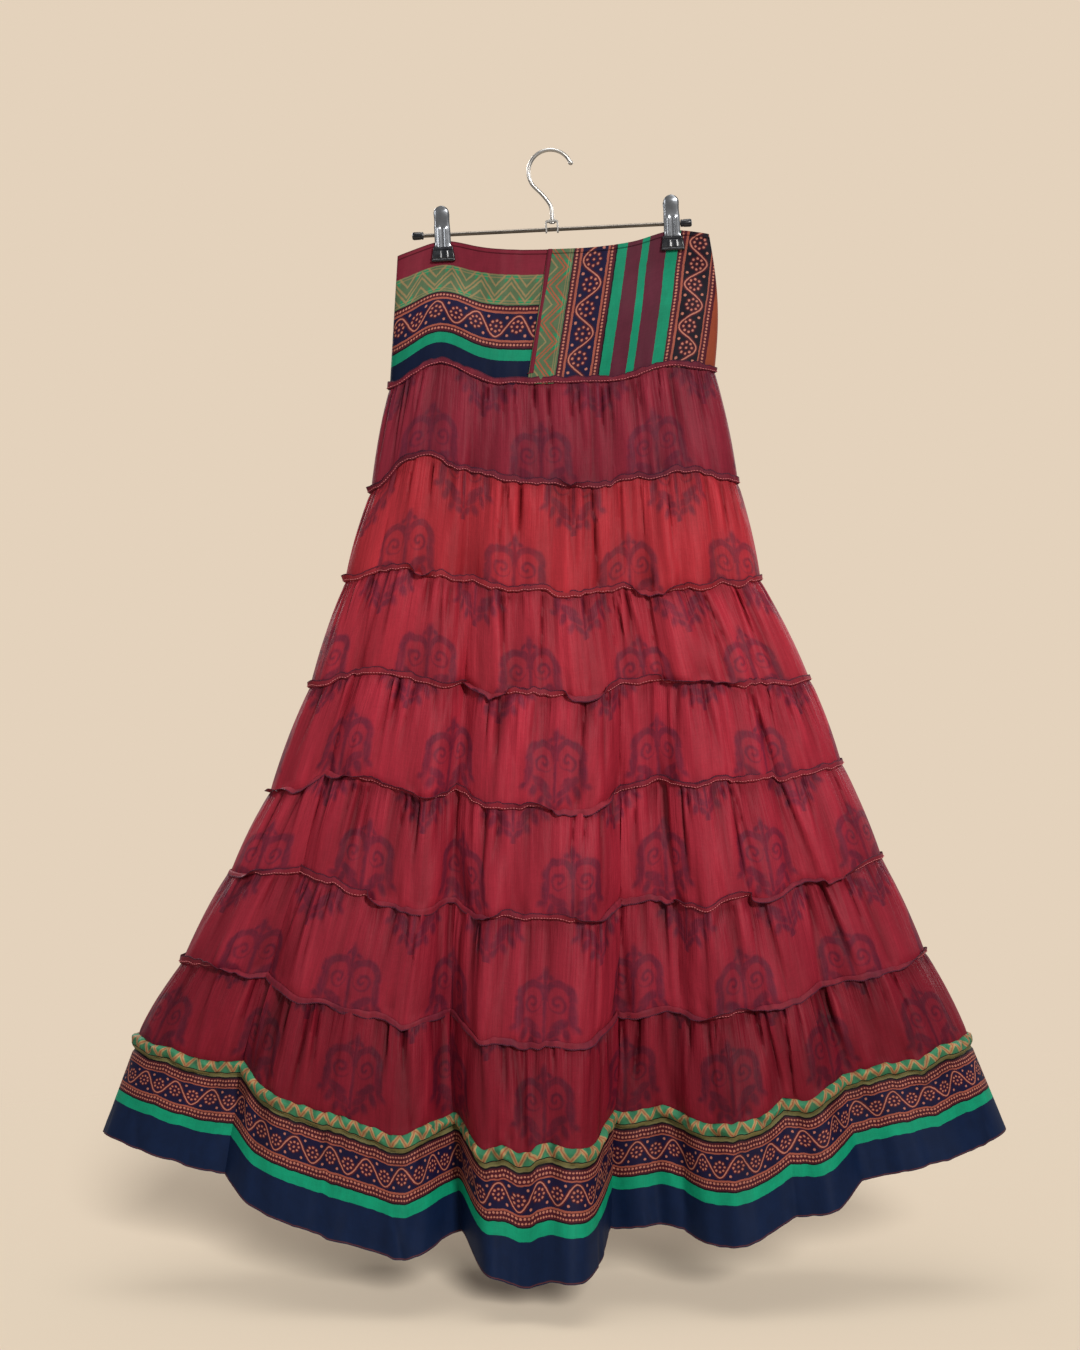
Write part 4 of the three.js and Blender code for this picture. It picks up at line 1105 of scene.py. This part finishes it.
# the black stripe from 19 to 21.5 mm is painted shadow under the tuck's roll
BORDER_STOPS = [
    (0, TEAL), (13.5, BLACK), (14.3, rgb(122, 116, 72)), (19, BLACK), (21.5, MAROON), (31.7, ORANGE),
    (33.4, NAVY), (62.2, ORANGE), (63.9, MAROON), (73.5, BLACK), (75, rgb(10, 150, 112)), (89, NAVY_HEM),
    (132.8, rgb(92, 48, 46)), (133.8, NAVY_HEM)]
BORDER_BANDS = [
    ("teeth", 0, 13.5, 18), ("dots", 22.5, 26.5, 3.2), ("dots", 27, 31.5, 4), ("vine", 33.4, 62.2, 20.6),
    ("dots", 64, 68.5, 4), ("dots", 69, 73, 3.2)]
border_cloth = printed_cloth("cloth_border", BORDER_LENGTH, BORDER_STOPS, BORDER_BANDS, light=0.80)
border_inside = plain_cloth("cloth_border_inside", rgb(24, 28, 66))


def border_piece():
    """The hem border with its raised, pinched tuck, and its way round."""
    columns = Columns(500, 270)
    grid = skirt_grid(columns, BORDER_TOP + np.linspace(0, 1, 50) * 0.9999)
    normal = eased(grid_normals(grid, True), 4)
    u = run_round(grid[-1])
    v = run_down(grid)
    v = v / v[-1] * BORDER_LENGTH
    around = u[-1]
    way = u[:-1]
    place = place_round(columns.side, columns.share(np.array([[8.2]]))[0])
    height = TUCK_HEIGHT + 3.5 * wave(41, 90, place)
    fullness = TUCK_DEPTH + 1.6 * wave(42, 70, place) + 1.2 * wave(43, 210, place)
    part = v / height
    tuck = fullness * np.where(part < 1, np.sin(np.pi * np.clip(part, 0, 1) ** 0.7) ** 0.7, 0)
    pinch = creases(way, v, around, 61, int(around / 9), (1.0, 3.4), (1.6, 4.0), (12, 26), 0.7)
    pinch *= smooth(24, 17, v)
    rumple = 1.3 * drifting_wave(820, 260, place, 8 + v / 5) * smooth(20, 12, v)
    flat = creases(way, v, around, 62, int(around / 34), (0.7, 2.4), (3.0, 9.0), (60, 160), 0.1)
    flat += creases(way, v, around, 63, int(around / 60), (0.7, 2.0), (2.0, 5.0), (40, 100), 0.3, True)
    flat *= smooth(14, 30, v)
    groove = -1.6 * bell(v - height - 2.0, 1.6)
    relief = (tuck + pinch + rumple + flat + groove) * smooth(-2, 1.5, v)
    # how deep each point lies, which the border's material turns into painted shade in creases; the groove
    # under the tuck counts extra, for a darker painted shadow line there
    sunk = -(pinch + rumple + flat + 1.6 * groove)
    outer = grid + normal * relief[..., None]
    return cloth_wall("hem_border_cloth", outer, u, v, True, BORDER_CLOTH, hollow=sunk), around


hem_border, border_around = border_piece()
keep(hem_border, "border_cloth", "hem_border", materials=(border_cloth, border_inside))

# ------------------------------------------------------------------ hanger
# Its own frame, as in the CAD source: the bar's middle is the origin and the bar runs along x.

HANGER_TILT = math.radians(2.8)
BAR_X, BAR_Z, BAR_RADIUS, BAR_LENGTH = 1.5, -77.8, 2.0, 272.2
HOOK_WIRE, HOOK_RADIUS, HOOK_TIP = 1.9, 22.1, 2.4
BRACKET_HALF, BRACKET_TOP, BRACKET_FOOT, BRACKET_DEPTH, SHEET = 6.5, 9.0, -3.0, 8.0, 1.4
CAP_RADIUS, CAP_LENGTH, CAP_DEPTH = 4.0, 11.5, 8.0
PLATE_HALF, PLATE_TOP, PLATE_FOOT, PLATE_STAND, PLATE_LEAN, PLATE_SHEET = 8.0, 28.0, -14.5, 4.5, 0.092, 1.2
FLUTE_X, FLUTE_TOP = 3.3, 7.0
JAW_TOP, JAW_FOOT, JAW_HALF_TOP, JAW_HALF_FOOT, JAW_THICK, JAW_INSIDE = -12.6, -27.0, 10.0, 12.0, 4.4, 1.6
EAR_RADIUS, EAR_REACH, EAR_SHEET, EAR_OUTER, EAR_INNER = 3.6, 8.0, 1.0, 7.4, 5.9
SPRING_RADIUS, SPRING_WIRE, SPRING_TURNS, SPRING_LENGTH = 3.1, 0.55, 6, 9.0
FACING = {"front": -1, "back": 1}


def hung(points):
    """From the hanger's own frame to the skirt's."""
    x, y, z = np.moveaxis(np.asarray(points, float), -1, 0)
    cos, sin = math.cos(HANGER_TILT), math.sin(HANGER_TILT)
    return np.stack([BAR_X + x * cos - z * sin, y, BAR_Z + x * sin + z * cos], -1)


def loft(rings):
    """Vertices and faces of a solid through rings of equally many points."""
    rings = np.asarray(rings, float)
    count, sides = rings.shape[:2]
    faces = []
    for start in range(0, (count - 1) * sides, sides):
        for j in range(sides):
            k = (j + 1) % sides
            faces.append([start + j, start + k, start + sides + k, start + sides + j])
    faces += [list(range(sides))[::-1], [(count - 1) * sides + j for j in range(sides)]]
    return rings.reshape(-1, 3), faces


def circle(sides):
    """Cosines and sines of even steps round a circle."""
    turn = np.linspace(0, 2 * math.pi, sides, endpoint=False)
    return np.cos(turn), np.sin(turn)


def lathe(profile, axis, centre=(0, 0, 0), sides=24):
    """A round solid about the x or z axis; each step of the profile is a place on it and a radius."""
    cos, sin = circle(sides)
    rings = [np.stack([radius * cos, radius * sin, place + 0 * cos], -1) for place, radius in profile]
    return loft(np.array(centre) + np.roll(rings, 1 if axis == "x" else 0, -1))


def rod(path, radii, up=(0, 1, 0), sides=20):
    """A round bar along a path; `up` is square to the path at each point."""
    path = np.asarray(path, float)
    along = unit(np.gradient(path, axis=0))
    up = np.broadcast_to(np.asarray(up, float), path.shape)
    side = np.cross(along, up)
    cos, sin = (part[None, :, None] for part in circle(sides))
    radii = np.broadcast_to(radii, len(path))[:, None, None]
    return loft(path[:, None] + radii * (up[:, None] * cos + side[:, None] * sin))


def solid(name, slot, parts, material, *nodes, sharp=40):
    """One hanger piece made of closed parts given in the hanger's frame."""
    vertices, faces = [], []
    for points, polygons in parts:
        base = sum(len(group) for group in vertices)
        vertices.append(hung(points))
        faces += [[base + index for index in polygon] for polygon in polygons]
    piece = build_mesh(name, np.concatenate(vertices), faces, sharp=None)
    shape = bmesh.new()
    shape.from_mesh(piece.data)
    bmesh.ops.recalc_face_normals(shape, faces=shape.faces)
    shape.to_mesh(piece.data)
    shape.free()
    piece.data.set_sharp_from_angle(angle=math.radians(sharp))
    return keep(piece, slot, *nodes, materials=(material,))


def metal(name, color, roughness, brushed=0.0):
    """Plated steel with faint smudges and, if brushed, fine lines along x."""
    paint = Paint(name)
    place = paint.node("TexCoord").outputs["Object"]
    smudge = paint.noise(place, 90.0, 4.0, 0.6)
    lines = paint.noise(place, 1.0, 3.0, 0.7, stretch=(60, 900, 900))
    paint.color = color
    paint.shade(smudge * 0.2 + lines * brushed + 0.88 - brushed / 2)
    normal = paint.bump(smudge * 0.4 + lines * brushed, 0.012, 0.4)
    return paint.finish(smudge * 0.16 + (roughness - 0.06), 0.5, normal, metallic=1.0)


def plastic(name, color):
    paint = Paint(name)
    place = paint.node("TexCoord").outputs["Object"]
    grain = paint.noise(place, 900.0, 2.0)
    wear = paint.noise(place, 120.0, 3.0).ramp(0.45, 0.75)
    paint.color = color
    paint.lay(tuple(3.5 * part for part in color), wear * 0.5)
    return paint.finish(wear * 0.15 + 0.26, 0.5, paint.bump(grain, 0.06, 0.6))


chrome_hook = metal("metal_hook", (0.56, 0.54, 0.51), 0.34)
chrome_bar = metal("metal_bar", (0.20, 0.175, 0.15), 0.28, 0.3)
chrome_clip = metal("metal_clip", (0.40, 0.42, 0.45), 0.25)
chrome_spring = metal("metal_spring", (0.45, 0.45, 0.46), 0.25)
black_plastic = plastic("plastic_black", (0.010, 0.011, 0.014))


def catmull(points, steps=10):
    """A smooth path through points."""
    points = np.asarray(points, float)
    padded = np.concatenate([[2 * points[0] - points[1]], points, [2 * points[-1] - points[-2]]])
    t = np.linspace(0, 1, steps, endpoint=False)[:, None]
    path = []
    for a, b, c, d in zip(padded, padded[1:], padded[2:], padded[3:]):
        square, cube = 2 * a - 5 * b + 4 * c - d, 3 * b - a - 3 * c + d
        path.append(0.5 * (2 * b + (c - a) * t + square * t ** 2 + cube * t ** 3))
    return np.concatenate([*path, points[-1:]])


def ball(centre, radius):
    steps = np.linspace(0.02, math.pi - 0.02, 13)
    return lathe([(radius * math.cos(a), radius * math.sin(a)) for a in steps], "z", centre, 20)


# the hook: up from the bracket, left, and round to a small ball
hook_centre = Vector((-BAR_X, 0, HOOK_WIRE - HOOK_RADIUS - BAR_Z))
hook_centre.rotate(Matrix.Rotation(HANGER_TILT, 3, "Y"))
STEM_X = 0.6
arc = [(hook_centre.x + HOOK_RADIUS * math.cos(a), 0, hook_centre.z + HOOK_RADIUS * math.sin(a))
       for a in np.radians(np.linspace(218, 22, 15))]
hook_path = catmull([(STEM_X, 0, 6.2), (STEM_X, 0, 15), (STEM_X - 1, 0, 24),
                     (STEM_X + 0.45 * (arc[0][0] - STEM_X), 0, 34), *arc])
rivet = lathe([(5.8, 2.4), (6.2, 3.0), (6.9, 3.0), (7.2, 2.5)], "z", (STEM_X, 0, 0))
collar = lathe([(9.1, 2.9), (9.5, 3.1), (10.2, 3.0), (10.6, 2.2)], "z", (STEM_X, 0, 0))
solid("hook_wire", "chrome", [rod(hook_path, HOOK_WIRE), ball(arc[-1], HOOK_TIP + 0.1), rivet, collar],
      chrome_hook, "hanger_hook")

# the bracket: a strip folded over the bar, its feet curled round it
strip = []
for reach, bend in ((BRACKET_HALF, 2.0), (BRACKET_HALF - SHEET, 0.8)):
    top = BRACKET_TOP - (BRACKET_HALF - reach)
    corner = [(reach - bend + bend * math.sin(a), top - bend + bend * math.cos(a))
              for a in np.linspace(0, math.pi / 2, 7)]
    strip.append([(-x, z) for x, z in corner[::-1]] + corner)
outside, inside = strip
profile = [(-BRACKET_HALF, BRACKET_FOOT), *outside, (BRACKET_HALF, BRACKET_FOOT),
           (BRACKET_HALF - SHEET, BRACKET_FOOT), *inside[::-1], (SHEET - BRACKET_HALF, BRACKET_FOOT)]
rims = []
for y, inset in ((-BRACKET_DEPTH / 2, 0.25), (0.3 - BRACKET_DEPTH / 2, 0), (BRACKET_DEPTH / 2 - 0.3, 0),
                 (BRACKET_DEPTH / 2, 0.25)):
    rims.append([(x * (1 - inset / BRACKET_HALF), y, z - inset * (z > 0)) for x, z in profile])
bracket_parts = [loft(rims)]
for side in (-1, 1):
    middle, reach = side * (BRACKET_HALF - SHEET / 2), 0.5 * SHEET * 1.15
    curl = [(reach, 3.3), (reach - 0.2, 3.7), (0.2 - reach, 3.7), (-reach, 3.3)]
    bracket_parts.append(lathe([(middle + x, radius) for x, radius in curl], "x", sides=20))
solid("bracket_strip", "chrome", bracket_parts, chrome_hook, "hanger_bracket")

# the bar and its end caps
bar_path = [(x, 0, 0) for x in np.linspace(-1, 1, 40) * BAR_LENGTH / 2]
solid("bar_rod", "chrome", [rod(bar_path, BAR_RADIUS)], chrome_bar, "hanger_bar")
CAP_PROFILE = [(0.0, 2.5), (0.3, 3.5), (1.0, 3.8), (2.0, 3.8), (2.3, 3.5), (2.9, 3.5), (3.2, 3.9),
               (9.6, CAP_RADIUS), (10.8, 3.6), (11.3, 2.8), (CAP_LENGTH, 1.0)]
cap_start = BAR_LENGTH / 2 - CAP_DEPTH + 0.4
for name, side in (("left", -1), ("right", 1)):
    cap = lathe([(side * (cap_start + x), radius) for x, radius in CAP_PROFILE], "x")
    solid(f"cap_{name}_sleeve", "black_plastic", [cap], black_plastic, f"hanger_cap_{name}")


def plate_points(facing):
    """The outer face of a clip's plate: a leaning strip with a domed round end and two flutes."""
    z = np.concatenate([np.linspace(PLATE_FOOT, PLATE_TOP - PLATE_HALF, 34),
                        PLATE_TOP - PLATE_HALF + PLATE_HALF * np.sin(np.linspace(0, math.pi / 2, 16))[1:]])
    above = np.clip((z - PLATE_TOP + PLATE_HALF) / PLATE_HALF, 0, 1)
    half = PLATE_HALF * np.sqrt(np.maximum(1 - above ** 2, 0.002))
    waist = 0.5 * bell(z - 14, 5)
    s = np.sin(np.linspace(-1, 1, 31) * math.pi / 2)
    x = (half - waist)[:, None] * s[None, :]
    zz = np.broadcast_to(z[:, None], x.shape)
    fluted = 1 - smooth(FLUTE_TOP - 2, FLUTE_TOP + 1, zz)
    flute = sum(bell(x - at, 1.05) for at in (-FLUTE_X, FLUTE_X)) * fluted * 0.9
    rolled = -1.3 * np.abs(s[None, :]) ** 8 * smooth(-13, -9, zz)
    domed = 1.1 * np.exp(-(x ** 2 + (zz - 20.5) ** 2) / 40)
    finger = -0.9 * smooth(22, 28, zz)
    y = PLATE_STAND + PLATE_SHEET + PLATE_LEAN * zz + flute + rolled + domed + finger - 0.4
    if facing > 0:
        x = -x
    return np.stack([x, facing * y, zz], -1)


# height, how far the face stands out, and how far the sides draw in
JAW_STEPS = [
    (JAW_TOP, 2.9, 0.6), (-13.0, 3.5, 0), (-15.2, 3.5, 0), (-15.6, 3.0, 0.2), (-16.2, 2.9, 0.2),
    (-16.8, 3.3, 0), (-20.0, 3.7, 0), (-23.4, 4.2, 0), (-24.0, 3.8, 0.1), (-24.6, 3.9, 0),
    (-25.2, JAW_THICK, 0), (-26.4, JAW_THICK, 0.1), (JAW_FOOT, 3.9, 0.8)]


def jaw_rings(facing):
    """A plastic jaw: flat towards the cloth, with a lip at its foot and ribs down its face."""
    rings = []
    for z, out, edge in JAW_STEPS:
        half = JAW_HALF_TOP + (JAW_HALF_FOOT - JAW_HALF_TOP) * (JAW_TOP - z) / (JAW_TOP - JAW_FOOT) - edge
        ring = [(-half, 0.0), (half, 0.0), (half, out - 1.0), (half - 0.3, out - 0.4), (half - 1.0, out)]
        ribbed = 0.55 if -23.6 < z < -16.5 else 0.0
        for x in np.linspace(half - 1.6, 1.6 - half, 25):
            rib = sum(math.exp(-((x - at) / 1.3) ** 2) for at in (-FLUTE_X, FLUTE_X))
            ring.append((x, out + ribbed * rib * min(1, JAW_THICK + 0.4 - out)))
        ring += [(1.0 - half, out), (0.3 - half, out - 0.4), (-half, out - 1.0)]
        rings.append([(x, facing * (JAW_INSIDE + y), z) for x, y in ring])
    return loft(rings)


def ear_rings(facing, x):
    """A plate's bent side, with a round end about the spring."""
    root = PLATE_STAND + PLATE_SHEET / 2
    rim = [(root + PLATE_LEAN * EAR_REACH, EAR_REACH), (root - PLATE_LEAN * EAR_REACH, -EAR_REACH)]
    for a in np.radians(np.linspace(-90, -270, 15)):
        rim.append((EAR_RADIUS * math.cos(a), EAR_RADIUS * math.sin(a)))
    return np.array([[(x + half, facing * y, z) for y, z in rim] for half in (-EAR_SHEET / 2, EAR_SHEET / 2)])


def clip_pieces(name, clip_x):
    shift = np.array([(clip_x - BAR_X) / math.cos(HANGER_TILT), 0, 0])
    for where, facing in FACING.items():
        points = hung(plate_points(facing) + shift)[::-1]
        u, v = run_round(points[0], False), run_down(points)
        plate = cloth_wall(f"clip_{name}_{where}_blade", points, u, v, False, PLATE_SHEET)
        keep(plate, "chrome", f"clip_{name}_{where}_plate", materials=(chrome_clip, chrome_clip))
        ear_x = EAR_OUTER if where == "front" else EAR_INNER
        ears = [loft(ear_rings(facing, side * ear_x) + shift) for side in (-1, 1)]
        solid(f"clip_{name}_{where}_ears", "chrome", ears, chrome_clip)
        jaw, faces = jaw_rings(facing)
        solid(f"clip_{name}_{where}_grip", "black_plastic", [(jaw + shift, faces)], black_plastic,
              f"clip_{name}_{where}_jaw", sharp=35)
    turn = np.linspace(0, SPRING_TURNS * 2 * math.pi, SPRING_TURNS * 20)
    radial = np.stack([0 * turn, np.cos(turn), np.sin(turn)], -1)
    coil = radial * SPRING_RADIUS + shift
    coil[:, 0] += np.linspace(-0.5, 0.5, len(turn)) * SPRING_LENGTH
    solid(f"clip_{name}_coil", "chrome", [rod(coil, SPRING_WIRE, radial, 8)], chrome_spring,
          f"clip_{name}_spring")


for name, clip_x in zip(("left", "right"), CLIP_X):
    clip_pieces(name, clip_x)

# ------------------------------------------------------------------ cloth sizes

SEAM_ALLOWANCE = 0.02
for tier, (around, tall) in tier_sizes.items():
    flat = (round(around * MM + SEAM_ALLOWANCE, 3), round(tall * MM + SEAM_ALLOWANCE, 3))
    above = "yoke_back_cloth_piece" if tier == 1 else f"tier_{tier - 1}_cloth"

# ------------------------------------------------------------------ stage and light

BACKDROP = rgb(228, 210, 188)
FLOOR_Z, FLOOR_RADIUS = -1.138, 1.9
FLOOR_SEEN, FLOOR_GONE = 0.5, 1.8            # how far out the floor is whole, and where it has faded away
FLOOR_COLOR = (0.76, 0.64, 0.495)

floor_mesh = bpy.data.meshes.new("floor")
ring = [(FLOOR_RADIUS * cos, FLOOR_RADIUS * sin, FLOOR_Z) for cos, sin in zip(*circle(96))]
floor_mesh.from_pydata(ring, [], [list(range(96))])
floor = bpy.data.objects.new("floor", floor_mesh)
bpy.context.scene.collection.objects.link(floor)
paint = Paint("floor_pale")
place = paint.node("NewGeometry").outputs["Position"]
reach = paint.node("VectorMath", operation="DISTANCE")
paint.link(place, reach.inputs[0])
reach.inputs[1].default_value = (0, 0, FLOOR_Z)
seen = Num(paint.tree, reach.outputs["Value"]).ramp(FLOOR_GONE, FLOOR_SEEN)
paint.color = FLOOR_COLOR
paint.finish(0.9, 0.1)
clear = paint.node("BsdfTransparent")
blend = paint.node("MixShader")
paint.link(seen, blend.inputs[0])
paint.link(clear.outputs[0], blend.inputs[1])
paint.link(paint.shader.outputs[0], blend.inputs[2])
output = paint.tree.nodes["Material Output"]
paint.link(blend.outputs[0], output.inputs["Surface"])
floor_mesh.materials.append(paint.material)

world = bpy.data.worlds.new("studio")
world.use_nodes = True
bpy.context.scene.world = world
nodes, links = world.node_tree.nodes, world.node_tree.links
shown = nodes["Background"]
shown.inputs[0].default_value = (*BACKDROP, 1)
shown.inputs[1].default_value = 1.0
lit = nodes.new("ShaderNodeBackground")
lit.inputs[0].default_value = (0.80, 0.77, 0.74, 1)
lit.inputs[1].default_value = 0.26
ray = nodes.new("ShaderNodeLightPath")
pick = nodes.new("ShaderNodeMixShader")
links.new(ray.outputs["Is Camera Ray"], pick.inputs[0])
links.new(lit.outputs[0], pick.inputs[1])
links.new(shown.outputs[0], pick.inputs[2])
links.new(pick.outputs[0], nodes["World Output"].inputs[0])


def lighting_group(name, state):
    """A collection of the floor alone, which lamps light, or leave out."""
    group = bpy.data.collections.new(name)
    group.objects.link(floor)
    group.collection_objects[0].light_linking.link_state = state
    return group


FLOOR_ONLY = lighting_group("floor_only", "INCLUDE")
FLOOR_LEFT_OUT = lighting_group("floor_left_out", "EXCLUDE")


def lamp(name, kind, place, aim, power, group, **settings):
    light = bpy.data.lights.new(name, kind)
    light.energy = power
    for key, value in settings.items():
        setattr(light, key, value)
    piece = bpy.data.objects.new(name, light)
    piece.location = place
    piece.rotation_euler = (Vector(aim) - Vector(place)).to_track_quat("-Z", "Y").to_euler()
    piece.light_linking.receiver_collection = group
    bpy.context.scene.collection.objects.link(piece)


def softbox(name, place, aim, size, power, color=(1, 1, 1)):
    lamp(name, "AREA", place, aim, power, FLOOR_LEFT_OUT, shape="DISK", size=size, color=color)


MIDDLE = (0, 0, -0.6)
softbox("key", (2.6, -4.8, 2.2), MIDDLE, 1.2, 275, (1.0, 0.98, 0.95))
softbox("fill", (-2.6, -2.0, 0.4), MIDDLE, 1.4, 20)
softbox("over", (0.0, -0.3, 3.4), (0, 0, -1), 2.4, 76)
softbox("back_left", (-2.6, 3.4, 1.6), MIDDLE, 2.0, 110)
softbox("back_right", (3.0, 3.2, 1.2), MIDDLE, 2.2, 60)
# the floor's own suns: a low one from the front, whose shadow lies just behind the hem, and two from above
lamp("floor_front", "SUN", (0.4, -2.6, 0.9), (0, 0, 0), 5.1, FLOOR_ONLY, angle=math.radians(13))
lamp("floor_top", "SUN", (0, -0.6, 3), (0, 0, 0), 0.68, FLOOR_ONLY, angle=math.radians(50))
lamp("floor_over", "SUN", (0, 0, 3), (0, 0, 0), 0.26, FLOOR_ONLY, use_shadow=False)
